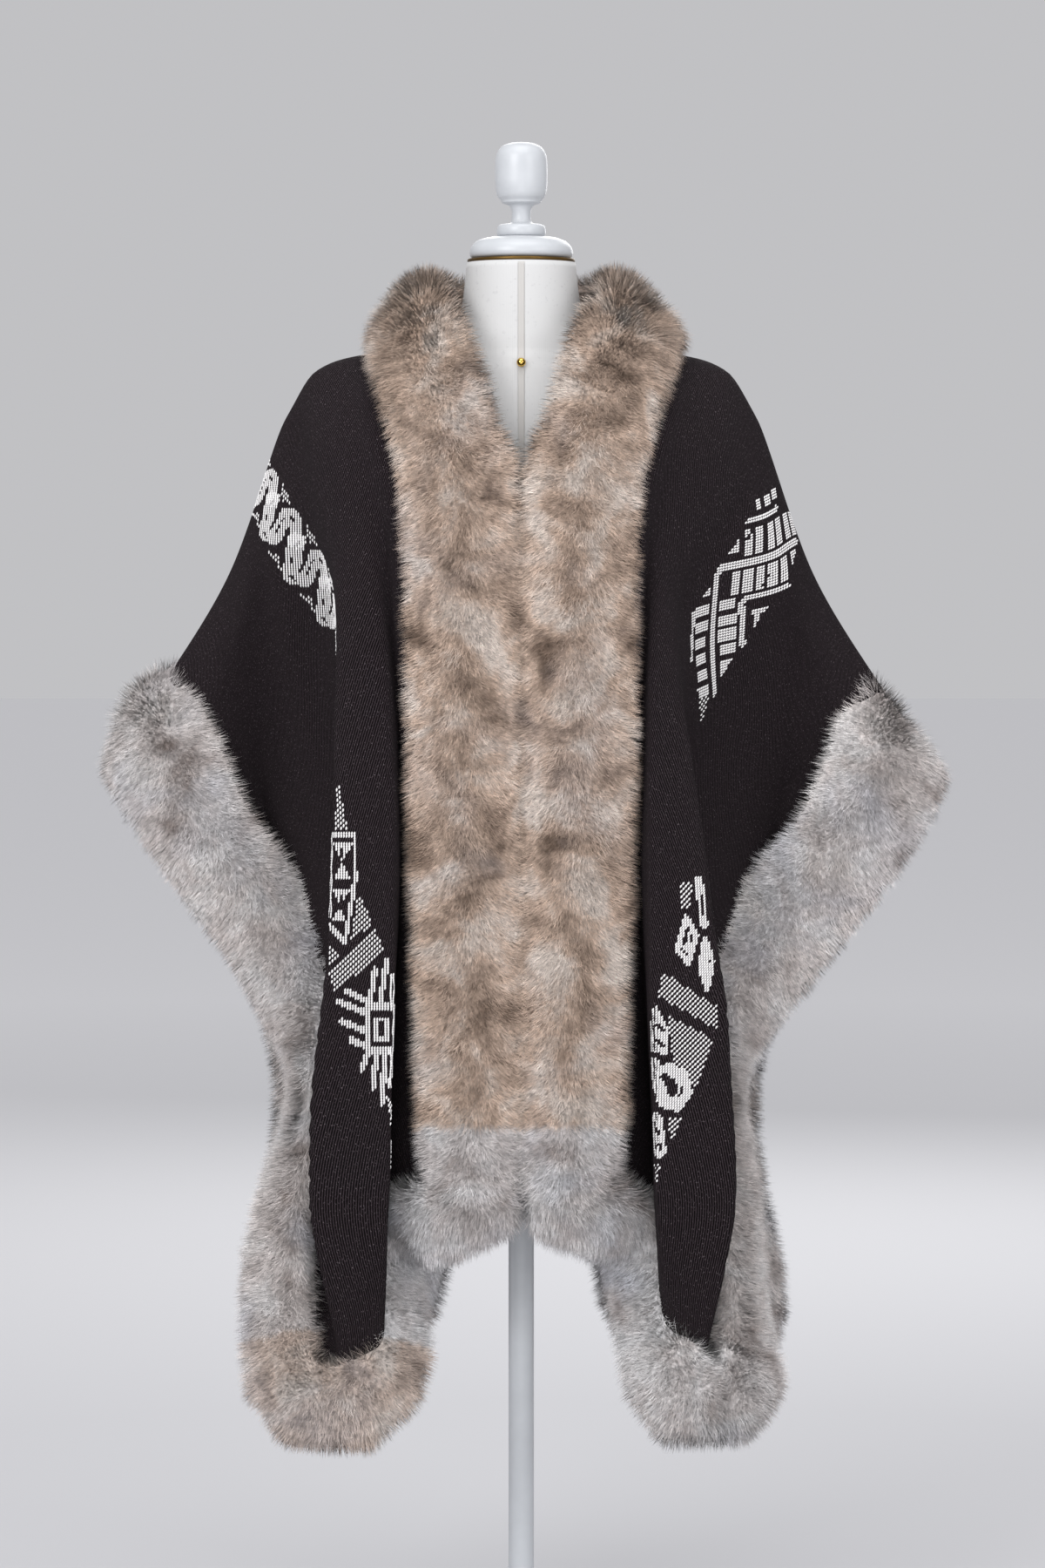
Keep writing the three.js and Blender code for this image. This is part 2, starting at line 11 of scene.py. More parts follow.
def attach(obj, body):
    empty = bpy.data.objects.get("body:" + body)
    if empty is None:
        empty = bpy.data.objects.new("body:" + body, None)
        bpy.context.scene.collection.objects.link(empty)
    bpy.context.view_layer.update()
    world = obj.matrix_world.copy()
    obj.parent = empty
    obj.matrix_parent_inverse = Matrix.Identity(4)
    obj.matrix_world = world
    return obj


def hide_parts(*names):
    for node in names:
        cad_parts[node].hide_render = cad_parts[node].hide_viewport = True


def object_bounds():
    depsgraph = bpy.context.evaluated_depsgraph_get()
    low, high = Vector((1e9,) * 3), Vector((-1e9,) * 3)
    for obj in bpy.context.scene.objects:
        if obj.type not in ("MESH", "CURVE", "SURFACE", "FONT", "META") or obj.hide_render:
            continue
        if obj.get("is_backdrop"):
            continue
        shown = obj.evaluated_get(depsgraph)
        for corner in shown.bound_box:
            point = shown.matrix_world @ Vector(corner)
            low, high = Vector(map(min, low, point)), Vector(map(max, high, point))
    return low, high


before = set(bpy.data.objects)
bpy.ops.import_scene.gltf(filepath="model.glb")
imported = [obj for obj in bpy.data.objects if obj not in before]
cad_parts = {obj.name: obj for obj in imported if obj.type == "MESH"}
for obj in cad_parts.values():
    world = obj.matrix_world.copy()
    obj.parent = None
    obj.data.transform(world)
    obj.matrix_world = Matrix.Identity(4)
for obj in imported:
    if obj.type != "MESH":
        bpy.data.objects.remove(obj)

cad_box = [list(corner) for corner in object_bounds()]

# ---------------------------------------------------------------- camera, floor and light
# The cape is seen square from the front on a long lens, from a little above its middle. It stands
# on a plain pale floor, in soft studio light from the front, above and behind.
CAMERA_DISTANCE = 4.6
CAMERA_RISE = math.radians(3)
LOOK_AT = Vector((0.0013, 0, 0.919))
SENSOR_HEIGHT = 36
LENS = 103.95

camera = bpy.data.objects.new("camera", bpy.data.cameras.new("camera"))
camera.data.sensor_fit = "VERTICAL"
camera.data.sensor_height = SENSOR_HEIGHT
camera.data.lens = LENS
away = Vector((0, -math.cos(CAMERA_RISE), math.sin(CAMERA_RISE)))
camera.location = LOOK_AT + away * CAMERA_DISTANCE
camera.rotation_euler = (-away).to_track_quat("-Z", "Y").to_euler()
bpy.context.scene.collection.objects.link(camera)
bpy.context.scene.camera = camera
bpy.context.scene.view_settings.view_transform = "Standard"

# name, place, size, watts
SOFT_LIGHTS = (
    ("key", (-2.2, -3.4, 2.7), 2.0, 84),
    ("fill", (2.6, -3.2, 2.1), 2.2, 40),
    ("low", (0.1, -3.9, 0.7), 2.0, 30),
    ("top", (0.1, -1.1, 4.3), 2.6, 58),
    ("back", (0.6, 3.4, 2.6), 2.4, 46),
)
for name, place, size, watts in SOFT_LIGHTS:
    lamp = bpy.data.objects.new(name, bpy.data.lights.new(name, "AREA"))
    lamp.data.size = size
    lamp.data.energy = watts
    lamp.location = place
    lamp.rotation_euler = (LOOK_AT - Vector(place)).to_track_quat("-Z", "Y").to_euler()
    bpy.context.scene.collection.objects.link(lamp)


def linear(colour):
    """An sRGB hex colour as linear RGBA."""
    values = [int(colour[i:i + 2], 16) / 255 for i in (1, 3, 5)]
    return (*[v / 12.92 if v <= 0.04045 else ((v + 0.055) / 1.055) ** 2.4 for v in values], 1)


def wire(tree, made, inputs):
    """Sets a node's inputs to plain values, or links them to a socket or a node's first output."""
    for name, value in inputs.items():
        if isinstance(value, bpy.types.Node):
            value = next(socket for socket in value.outputs if socket.enabled)
        if isinstance(value, bpy.types.NodeSocket):
            tree.links.new(value, made.inputs[name])
        else:
            made.inputs[name].default_value = value


def node(tree, kind, inputs=None, **settings):
    """Adds a node to a tree, sets its properties, and sets or links its inputs."""
    made = tree.nodes.new(kind)
    for name, value in settings.items():
        setattr(made, name, value)
    wire(tree, made, inputs or {})
    return made


def material(name):
    """A new node-based material: its tree, its shader and itself."""
    made = bpy.data.materials.new(name)
    made.use_nodes = True
    return made.node_tree, made.node_tree.nodes["Principled BSDF"], made


def mesh_piece(name, points, faces, finish, smooth=True):
    """A piece made of points and faces in the frame's own metres."""
    mesh = bpy.data.meshes.new(name)
    mesh.from_pydata([tuple(p) for p in points], [], faces)
    mesh.validate()
    if smooth:
        mesh.shade_smooth()
    made = bpy.data.objects.new(name, mesh)
    mesh.materials.append(finish)
    bpy.context.scene.collection.objects.link(made)
    return made


world = bpy.data.worlds.new("studio")
bpy.context.scene.world = world
world.use_nodes = True
wire(world.node_tree, world.node_tree.nodes["Background"], {"Color": linear("#e8e8eb"), "Strength": 0.66})

# Matt paint on a studio floor: pale grey where the lamps fall on it, and painted paler towards the walls as
# painted light, standing in for the lamp light that falls off there, so that the far floor is as bright as
# the backdrop.
FLOOR_HALF = 30
PALER_FROM, PALER_TO = 1.5, 7
tree, shader, painted_floor = material("matt floor paint with painted far light")
place = node(tree, "ShaderNodeTexCoord").outputs["Object"]
away_from = node(tree, "ShaderNodeVectorMath", {"Vector": place}, operation="LENGTH")
# painted light: the floor's colour grows paler with distance from the stand, where less lamp light reaches
painted_far_light = node(tree, "ShaderNodeMapRange", {"Value": away_from, "From Min": PALER_FROM, "From Max": PALER_TO})
wire(tree, shader, {
    "Roughness": 0.9,
    "Base Color": node(tree, "ShaderNodeMix", {
        "Factor": painted_far_light, "A": linear("#c9c9cc"), "B": linear("#fbfbfd")}, data_type="RGBA"),
})
corners = [(x * FLOOR_HALF, y * FLOOR_HALF, 0) for x, y in ((-1, -1), (1, -1), (1, 1), (-1, 1))]
floor = mesh_piece("floor", corners, [(0, 1, 2, 3)], painted_floor, smooth=False)
floor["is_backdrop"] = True

# ---------------------------------------------------------------- dress form
# The cape hangs on a limbless padded torso covered in white cotton jersey, with a grey tape down
# the middle of its front, held by a gold bead pin. A thin brass band and a turned, enamelled cap
# and finial close the neck, and an enamelled pole and round base carry it.
MM = 0.001
FORM_SIDES = 96
FORM_ANGLES = np.arange(FORM_SIDES) / FORM_SIDES * math.tau
CORE_RADIUS = 0.2                         # mm: a turned form's ends close on a core this thin
EDGE_SHARE, EDGE_STEPS = 0.45, 6          # the most of a side that an edge may take, and its points
TORSO_RINGS = 130
# height, half width, half depth in mm, and how far the plan narrows towards its corners
TORSO_SECTIONS = np.array([
    [700, 150, 100, 1], [716, 158, 106, 1], [800, 156, 106, 1], [900, 140, 98, 1], [1000, 124, 88, 1],
    [1100, 144, 98, 1], [1180, 164, 104, 1.02], [1250, 178, 94, 1.1], [1300, 183, 82, 1.3],
    [1325, 184, 76, 1.45], [1338.5, 181, 73, 1.55], [1344.5, 174, 71, 1.6], [1347.5, 160, 70, 1.55],
    [1350, 138, 69, 1.45], [1357, 112, 66, 1.3], [1368, 84, 64, 1.12], [1384, 67, 61, 1],
    [1410, 59, 58, 1], [1446, 55, 55, 1],
])
TORSO_FOOT, TORSO_TOP = TORSO_SECTIONS[0, 0], TORSO_SECTIONS[-1, 0]
COVER_EASE = 2.4                          # mm that the cover gives under the hanging cloth
EASE_FROM, EASE_TO = 1330, 1400           # mm of height over which it ends
TAPE_HALF, TAPE_TOP, TAPE_FOOT = 3.3, 1444, 1220
TAPE_LIFT, TAPE_THICK = 0.35, 0.6
TAPE_ROWS, TAPE_POINTS = 90, 7
PIN_HEIGHT, PIN_RADIUS = 1343, 4.6
PIN_POINTS, PIN_EDGE, PIN_PROUD = 17, 0.4, 0.8
# turned profiles as [radius, height] in mm, and the radius of their worked edges
NECK_BAND = ([[0, 1446.3], [54, 1446.3], [54.6, 1448], [54, 1449.7], [0, 1449.7]], 0.8)
NECK_CAP = ([[0, 1450], [48, 1450], [51.5, 1452], [52.5, 1456], [51, 1462], [45, 1468],
             [34, 1471.5], [0, 1471.5]], 3)
FINIAL = ([[0, 1471.8], [22.5, 1471.8], [24.8, 1474.3], [24.8, 1480.8], [22.5, 1484.3], [12, 1485.3],
           [9.6, 1488.8], [9.6, 1498.8], [12, 1503.8], [20, 1506], [20, 1508.3], [24.5, 1512.8],
           [26.4, 1523.8], [26.4, 1546.8], [25, 1555.8], [20.5, 1562.8], [12, 1566.3], [0, 1567.3]], 5)
POLE = ([[0, 40.3], [13, 40.3], [13, 688], [17, 692], [42, 693], [42, 699.7], [0, 699.7]], 2)
BASE = ([[0, 0], [188, 0], [190, 3], [189, 10], [182, 14], [34, 17], [24, 24], [22, 40], [0, 40]], 3)


def shape_keeping(xs, ys, at):
    """A curve through rows of values that never overshoots them, so a fold stays a true ridge."""
    xs, ys, at = np.asarray(xs, float), np.asarray(ys, float), np.asarray(at, float)
    step = np.diff(xs)[:, None]
    rise = np.diff(ys, axis=0) / step
    slope = np.empty_like(ys)
    same_way = rise[:-1] * rise[1:] > 0
    total = np.where(same_way, rise[:-1] + rise[1:], 1)
    slope[1:-1] = np.where(same_way, 2 * rise[:-1] * rise[1:] / total, 0)
    slope[0], slope[-1] = rise[0], rise[-1]
    i = np.clip(np.searchsorted(xs, at, side="right") - 1, 0, len(xs) - 2)
    t = (at - xs[i])[:, None] / step[i]
    return ((2 * t**3 - 3 * t**2 + 1) * ys[i] + (t**3 - 2 * t**2 + t) * step[i] * slope[i]
            + (3 * t**2 - 2 * t**3) * ys[i + 1] + (t**3 - t**2) * step[i] * slope[i + 1])


def quads(rows, width, closed=False):
    """Faces between a grid's points, given row by row; a closed grid joins each row's ends."""
    pairs = [(c, (c + 1) % width) for c in range(width if closed else width - 1)]
    return [(r + a, r + b, r + width + b, r + width + a)
            for r in range(0, (rows - 1) * width, width) for a, b in pairs]


def stacked(name, rings, finish):
    """A closed form from level rings of points, bottom to top, in mm."""
    count, around = rings.shape[:2]
    ends = [tuple(range(around))[::-1], tuple(range((count - 1) * around, count * around))]
    return mesh_piece(name, rings.reshape(-1, 3) * MM, quads(count, around, closed=True) + ends, finish)


def turned(name, shape, finish):
    """A form turned on the lathe round the Z axis, with its edges worked round."""
    profile, radius = np.array(shape[0], float), shape[1]
    line = [profile[0] + (CORE_RADIUS, 0)]
    for before, corner, after in zip(profile, profile[1:], profile[2:]):
        ends = []
        for other in (before, after):
            length = np.linalg.norm(other - corner)
            ends.append(corner + (other - corner) * min(radius, EDGE_SHARE * length) / length)
        line += [ends[0] * (1 - t) ** 2 + corner * 2 * t * (1 - t) + ends[1] * t**2
                 for t in np.linspace(0, 1, EDGE_STEPS)]
    line = np.array([*line, profile[-1] + (CORE_RADIUS, 0)])
    out, up = line[:, :1], np.repeat(line[:, 1:], FORM_SIDES, axis=1)
    return stacked(name, np.stack([out * np.cos(FORM_ANGLES), out * np.sin(FORM_ANGLES), up], axis=2), finish)


def torso_surface(heights, angles):
    """Points of the torso's cover in mm: rows of height, columns of angle from the front."""
    sizes = shape_keeping(TORSO_SECTIONS[:, 0], TORSO_SECTIONS[:, 1:], heights)
    ease = COVER_EASE * np.clip((EASE_TO - heights) / (EASE_TO - EASE_FROM), 0, 1)
    wide, deep, power = (sizes[:, 0] - ease)[:, None], (sizes[:, 1] - ease)[:, None], sizes[:, 2:]
    sine, cosine = np.sin(angles)[None], np.cos(angles)[None]
    return np.stack([
        wide * np.sign(sine) * np.abs(sine) ** power,
        -deep * np.sign(cosine) * np.abs(cosine) ** power,
        np.repeat(heights[:, None], len(angles), axis=1),
    ], axis=2)


# Cotton jersey: a matt white knit with a fine wale and faint grey specks. The wale is drawn at
# 1.5 mm, coarser than the real one, so that it shows.
WAVE_UNIT = math.tau / 20                 # metres between the bands of a wave texture of scale 1
JERSEY_WALE = 0.0015
tree, shader, jersey = material("white cotton jersey")
place = node(tree, "ShaderNodeTexCoord").outputs["Object"]
speck = node(tree, "ShaderNodeTexNoise", {"Vector": place, "Scale": 260, "Detail": 2})   # specks 4 mm apart
faint = node(tree, "ShaderNodeMapRange", {"Value": speck, "From Min": 0.62, "From Max": 0.74, "To Max": 0.35})
wale = node(tree, "ShaderNodeTexWave", {
    "Vector": place, "Scale": WAVE_UNIT / JERSEY_WALE, "Distortion": 0.4}, bands_direction="X")
wire(tree, shader, {
    "Roughness": 0.85, "Sheen Weight": 0.08,
    "Base Color": node(tree, "ShaderNodeMix", {
        "Factor": faint, "A": linear("#c8c8c8"), "B": linear("#aaaaac")}, data_type="RGBA"),
    "Normal": node(tree, "ShaderNodeBump", {
        "Height": wale.outputs["Fac"], "Strength": 0.12, "Distance": 0.0004}),
})

# Satin enamel on turned wood: hard, white and smooth, with a faint brushed unevenness 22 mm long.
tree, shader, enamel = material("white satin enamel")
place = node(tree, "ShaderNodeTexCoord").outputs["Object"]
stroke = node(tree, "ShaderNodeTexNoise", {"Vector": place, "Scale": 45, "Detail": 3})
wire(tree, shader, {
    "Roughness": node(tree, "ShaderNodeMapRange", {"Value": stroke, "To Min": 0.24, "To Max": 0.42}),
    "Base Color": node(tree, "ShaderNodeMix", {
        "Factor": stroke, "A": linear("#b8bbbf"), "B": linear("#c5c8cc")}, data_type="RGBA"),
    "Normal": node(tree, "ShaderNodeBump", {"Height": stroke, "Strength": 0.05, "Distance": 0.0005}),
})

# Cotton tape: a narrow grey twill, drawn with a 1 mm rib so that it shows.
TAPE_RIB = 0.001
tree, shader, grey_tape = material("grey cotton tape")
place = node(tree, "ShaderNodeTexCoord").outputs["Object"]
slant = node(tree, "ShaderNodeMapping", {"Vector": place, "Rotation": (0, math.radians(45), 0)})
rib = node(tree, "ShaderNodeTexWave", {"Vector": slant, "Scale": WAVE_UNIT / TAPE_RIB}, bands_direction="X")
wire(tree, shader, {
    "Roughness": 0.9,
    "Base Color": node(tree, "ShaderNodeMix", {
        "Factor": rib.outputs["Fac"], "A": linear("#b4b1ae"), "B": linear("#c2c0be")}, data_type="RGBA"),
})

# Brass: the thin band has darkened with age, and the pin's bead is polished and bright. Both are
# clouded in patches about 17 mm across.
metals = {}
for name, dark, bright, rough in (
    ("aged brass", "#4a3a22", "#7d6234", 0.42), ("polished brass", "#c9a04a", "#e3c06a", 0.16),
):
    tree, shader, metals[name] = material(name)
    place = node(tree, "ShaderNodeTexCoord").outputs["Object"]
    tarnish = node(tree, "ShaderNodeTexNoise", {"Vector": place, "Scale": 60, "Detail": 4})
    wire(tree, shader, {
        "Metallic": 1, "Roughness": rough,
        "Base Color": node(tree, "ShaderNodeMix", {
            "Factor": tarnish, "A": linear(dark), "B": linear(bright)}, data_type="RGBA"),
    })

levels = np.unique(np.concatenate([np.linspace(TORSO_FOOT, TORSO_TOP, TORSO_RINGS), TORSO_SECTIONS[:, 0]]))
cover = stacked("torso_cover", torso_surface(levels, FORM_ANGLES), jersey)

# the tape lies on the jersey and follows its curve, from the neck down to where the fur hides it
down = np.linspace(TAPE_TOP, TAPE_FOOT, TAPE_ROWS)
fronts = torso_surface(down, np.array([0.0]))[:, 0, 1]
halves = shape_keeping(TORSO_SECTIONS[:, 0], TORSO_SECTIONS[:, 1:2], down)[:, 0]
ribbon = np.array([
    [[x, front * math.sqrt(1 - (x / half) ** 2) - TAPE_LIFT, height]
     for x in np.linspace(TAPE_HALF, -TAPE_HALF, TAPE_POINTS)]
    for height, front, half in zip(down, fronts, halves)])
tape = mesh_piece("front_tape", ribbon.reshape(-1, 3) * MM, quads(TAPE_ROWS, TAPE_POINTS), grey_tape)
body = tape.modifiers.new("body", "SOLIDIFY")
body.thickness = TAPE_THICK * MM
body.offset = 0

# the pin's bead is turned as a ball, and then moved out to the tape
ball = [[PIN_RADIUS * max(math.cos(a), 0), PIN_HEIGHT + PIN_RADIUS * math.sin(a)]
        for a in np.linspace(-math.pi / 2, math.pi / 2, PIN_POINTS)]
bead = turned("pin_bead", (ball, PIN_EDGE), metals["polished brass"])
front_y = torso_surface(np.array([float(PIN_HEIGHT)]), np.array([0.0]))[0, 0, 1]
for vertex in bead.data.vertices:
    vertex.co.y += (front_y - PIN_RADIUS * PIN_PROUD) * MM

for piece, stood_for, slot in (
    (cover, "form_torso", "form_cover"), (tape, "form_tape", "form_tape"), (bead, "form_pin", "brass"),
    (turned("neck_band", NECK_BAND, metals["aged brass"]), "form_neck_band", "brass"),
    (turned("neck_cap", NECK_CAP, enamel), "form_neck_cap", "white_paint"),
    (turned("finial", FINIAL, enamel), "form_finial", "white_paint"),
    (turned("stand_pole", POLE, enamel), "form_pole", "white_paint"),
    (turned("stand_base", BASE, enamel), "form_base", "white_paint"),
):
    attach(piece, "root")
    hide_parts(stood_for)

# ---------------------------------------------------------------- woven panels
# Each half of the cape is one loom width of dark brown-black wool twill that runs over the shoulder
# from the back hem to the front hem. It hangs in a wing over the arm and a flute at front and back.
PANEL_WIDTH = 0.55
PANEL_HALF = 0.90
CLOTH_WALL = 0.0024
CENTRE_GAP = 0.2
STATIONS = [0, 0.10, 0.28, 0.58, 0.86, 1]       # shoulder, yoke, chest, waist, skirt, hem

# Fold lines from the opening to the side edge: [out, reach, up] in mm at the shoulder, then at the
# yoke, chest, waist, skirt and hem of the back and of each front.
SHOULDER = [[110, 0, 1394], [150, 0, 1354], [167, 0, 1351], [184, 0, 1347], [207, 0, 1336],
            [237, 2, 1290], [295, 16, 1134], [386, 26, 986]]
FRONT_LEFT = [
    [[98, 80, 1352], [61, 138, 1185], [58, 142, 900], [51, 140, 640], [48, 138, 508]],
    [[150, 88, 1310], [121, 129, 1178], [113, 134, 893], [98, 131, 625], [98, 120, 500]],
    [[167, 78, 1300], [134, 122, 1160], [119, 122, 875], [135, 88, 600], [142, 88, 458]],
    [[185, 67, 1290], [148, 126, 1150], [125, 164, 858], [130, 171, 540], [138, 130, 356]],
    [[207, 52, 1272], [182, 106, 1132], [186, 152, 838], [208, 165, 520], [164, 152, 318]],
    [[236, 30, 1212], [190, 62, 1070], [160, 90, 798], [172, 108, 470], [190, 154, 306]],
    [[288, 12, 1062], [254, -6, 905], [196, 64, 705], [200, 100, 430], [214, 144, 318]],
    [[340, 6, 896], [250, 16, 768], [204, 60, 640], [232, 104, 404], [230, 124, 350]],
]
FRONT_RIGHT = [
    [[98, 80, 1352], [60, 138, 1185], [58, 142, 900], [51, 140, 640], [47, 138, 512]],
    [[148, 88, 1310], [118, 128, 1176], [111, 134, 893], [98, 131, 625], [92, 118, 504]],
    [[162, 80, 1300], [126, 116, 1150], [117, 118, 870], [130, 88, 600], [134, 90, 460]],
    [[175, 74, 1288], [134, 118, 1132], [128, 165, 845], [133, 172, 545], [143, 125, 372]],
    [[197, 58, 1266], [151, 106, 1112], [184, 150, 832], [211, 165, 525], [168, 150, 314]],
    [[236, 30, 1212], [172, 64, 1050], [154, 92, 790], [166, 106, 480], [190, 154, 294]],
    [[290, 12, 1062], [260, -6, 892], [190, 64, 702], [186, 98, 450], [210, 144, 302]],
    [[352, 6, 892], [262, 16, 772], [196, 58, 640], [208, 94, 425], [220, 124, 340]],
]
BACK = [
    [[0, 112, 1376], [0, 140, 1170], [0, 150, 850], [0, 152, 595], [0, 150, 520]],
    [[76, 94, 1322], [72, 136, 1165], [68, 148, 845], [66, 150, 590], [66, 144, 514]],
    [[130, 80, 1306], [118, 120, 1150], [112, 114, 830], [110, 112, 570], [114, 106, 484]],
    [[166, 70, 1294], [150, 130, 1130], [138, 164, 800], [136, 170, 530], [136, 134, 380]],
    [[200, 56, 1272], [188, 112, 1098], [198, 152, 780], [208, 162, 500], [164, 152, 324]],
    [[234, 36, 1210], [198, 70, 1036], [172, 102, 728], [178, 114, 455], [190, 154, 310]],
    [[290, 44, 1062], [258, 62, 882], [204, 92, 668], [204, 110, 425], [214, 144, 322]],
    [[346, 70, 896], [264, 80, 768], [216, 90, 634], [230, 112, 408], [228, 126, 354]],
]
SIDES = (("left", -1, FRONT_LEFT), ("right", 1, FRONT_RIGHT))
COLUMNS, ROWS = 72, 226
FOLD_SAMPLES = 281
TINY = 1e-12                              # added to a length that may be nought, before dividing


def cloth_surface(front, folds, lengths):
    """Points of one panel's middle, in mm and to the right: fold 0 to 7, length -1 to 1."""
    stations = [-s for s in reversed(STATIONS[1:])] + STATIONS
    lines = []
    for fold in range(len(SHOULDER)):
        back = [[out, reach, up] for out, reach, up in reversed(BACK[fold])]
        ahead = [[out, -reach, up] for out, reach, up in front[fold]]
        lines.append(shape_keeping(stations, back + [SHOULDER[fold]] + ahead, lengths))
    # behind the shoulder the opening runs round the neck to the nape, in a quarter of an ellipse
    turn = np.clip(-lengths / STATIONS[1], 0, 1) * math.pi / 2
    (out, _, up), nape = SHOULDER[0], BACK[0][0]
    round_neck = np.stack([
        out * np.cos(turn), nape[1] * np.sin(turn), up + (nape[2] - up) * np.sin(turn) ** 2], axis=1)
    behind = (lengths < 0) & (lengths >= -STATIONS[1])
    lines[0] = np.where(behind[:, None], round_neck, lines[0])
    lines = np.stack(lines)
    points = shape_keeping(range(len(lines)), lines.reshape(len(lines), -1), folds)
    points = points.reshape(len(folds), len(lengths), 3)
    points[..., 0] = np.maximum(points[..., 0], CENTRE_GAP)
    return points


def surface_normals(grid):
    """Unit normals of a grid of points, pointing away from the wearer."""
    normal = np.cross(np.gradient(grid, axis=1), np.gradient(grid, axis=0))
    normal /= np.linalg.norm(normal, axis=2, keepdims=True) + TINY
    known = (len(grid) // 4, 5)           # a place on the back, where outwards is away from the middle
    return normal if (normal[known] * grid[known] * (1, 1, 0)).sum() > 0 else -normal


# Creases pressed or pulled into the cloth: [across, along] from and to in metres on the panel,
# along being ahead of the shoulder, then depth and half width in mm. Below nothing is a trough.
CREASES = {
    "left": (
        ((0.17, 0.02), (0.21, 0.30), -5, 22),
        ((0.24, 0.05), (0.33, 0.34), 4, 26),
        ((0.40, 0.10), (0.44, 0.36), -4, 24),
        ((0.30, 0.52), (0.32, 0.80), 3, 16),
        ((0.16, -0.04), (0.22, -0.34), -5, 24),
        ((0.30, -0.06), (0.36, -0.38), 4, 28),
        ((0.10, -0.30), (0.12, -0.74), -4, 20),
    ),
    "right": (
        ((0.22, 0.03), (0.17, 0.28), -5, 20),
        ((0.30, 0.06), (0.24, 0.36), 4, 26),
        ((0.44, 0.12), (0.40, 0.40), -4, 24),
        ((0.28, 0.50), (0.30, 0.78), 3, 16),
        ((0.17, -0.05), (0.24, -0.36), -5, 24),
        ((0.33, -0.04), (0.40, -0.34), 4, 28),
        ((0.12, -0.34), (0.10, -0.70), -4, 20),
    ),
}
CREASE_ENDS, CREASE_FADE = (0.02, 0.98), 0.6    # a crease is deepest halfway, and fades to its ends
RIPPLE = 0.7                              # mm by which the cloth is nowhere quite flat
RIPPLE_ACROSS, RIPPLE_ALONG = 61, 23


def crease_height(across, along, creases):
    """How far the creases lift or sink each place of a panel, in mm."""
    height = np.zeros_like(across)
    for (a0, b0), (a1, b1), depth, width in creases:
        line = np.array([a1 - a0, b1 - b0])
        share = ((across - a0) * line[0] + (along - b0) * line[1]) / (line @ line)
        held = np.clip(share, 0, 1)
        distance = np.hypot(across - a0 - held * line[0], along - b0 - held * line[1])
        fade = np.sin(np.pi * np.clip(share, *CREASE_ENDS)) ** CREASE_FADE
        height += depth * fade * np.exp(-(distance / (width * MM)) ** 2)
    return height


def draped_panel(side_name, side, front):
    """The panel's points in metres on an even grid of its flat cut: rows along, columns across."""
    lengths = np.linspace(-1, 1, ROWS + 1)
    fine = cloth_surface(front, np.linspace(0, len(SHOULDER) - 1, FOLD_SAMPLES), lengths)
    steps = np.linalg.norm(np.diff(fine, axis=0), axis=2)
    run = np.vstack([np.zeros(len(lengths)), np.cumsum(steps, axis=0)])
    run *= PANEL_WIDTH / run[-1]
    across = np.linspace(0, PANEL_WIDTH, COLUMNS + 1)
    grid = np.stack([
        np.stack([np.interp(across, run[:, row], fine[:, row, axis]) for axis in range(3)], axis=1)
        for row in range(len(lengths))
    ])
    grid[..., 0] *= side
    lift = crease_height(*np.meshgrid(across, lengths * PANEL_HALF), CREASES[side_name])
    lift += RIPPLE * np.sin(across * RIPPLE_ACROSS)[None, :] * np.sin(lengths * RIPPLE_ALONG)[:, None]
    return (grid + surface_normals(grid) * lift[..., None]) * MM


# Wool twill: a dull, dark brown-black cloth with a fine slanting rib, a short nap and stray light
# fibres. The rib is drawn at 2.4 mm, coarser than the real one, so that it shows.
TWILL_RIB = 0.0024
TWILL_SLANT = math.radians(38)
tree, shader, wool_twill = material("wool twill")
cut = node(tree, "ShaderNodeUVMap", uv_map="cut")
slanted = node(tree, "ShaderNodeMapping", {"Vector": cut, "Rotation": (0, 0, TWILL_SLANT)})
rib = node(tree, "ShaderNodeTexWave", {
    "Vector": slanted, "Scale": WAVE_UNIT / TWILL_RIB, "Distortion": 1.2, "Detail": 2, "Detail Scale": 3,
}, bands_direction="X").outputs["Fac"]
yarn = node(tree, "ShaderNodeTexNoise", {"Vector": cut, "Scale": 620, "Detail": 3})     # hairs 1.6 mm apart
tint = node(tree, "ShaderNodeTexNoise", {"Vector": cut, "Scale": 34, "Detail": 4})      # tones 30 mm across
crest = node(tree, "ShaderNodeMapRange", {"Value": rib, "From Min": 0.45, "From Max": 0.95})
fleck = node(tree, "ShaderNodeMapRange", {"Value": yarn, "From Min": 0.62, "From Max": 0.72, "To Max": 0.6})
colour = linear("#040203")
for share, over in ((tint, "#080506"), (crest, "#372f33"), (fleck, "#8c8186")):
    colour = node(tree, "ShaderNodeMix", {"Factor": share, "A": colour, "B": linear(over)}, data_type="RGBA")
relief = node(tree, "ShaderNodeMath", {0: rib, 1: yarn}, operation="ADD")
wire(tree, shader, {
    "Roughness": 0.95, "Specular IOR Level": 0.1,
    "Sheen Weight": 0.03, "Sheen Roughness": 0.5, "Sheen Tint": linear("#b0a2a6"),
    "Base Color": colour,
    "Normal": node(tree, "ShaderNodeBump", {"Height": relief, "Strength": 0.8, "Distance": 0.0012}),
})

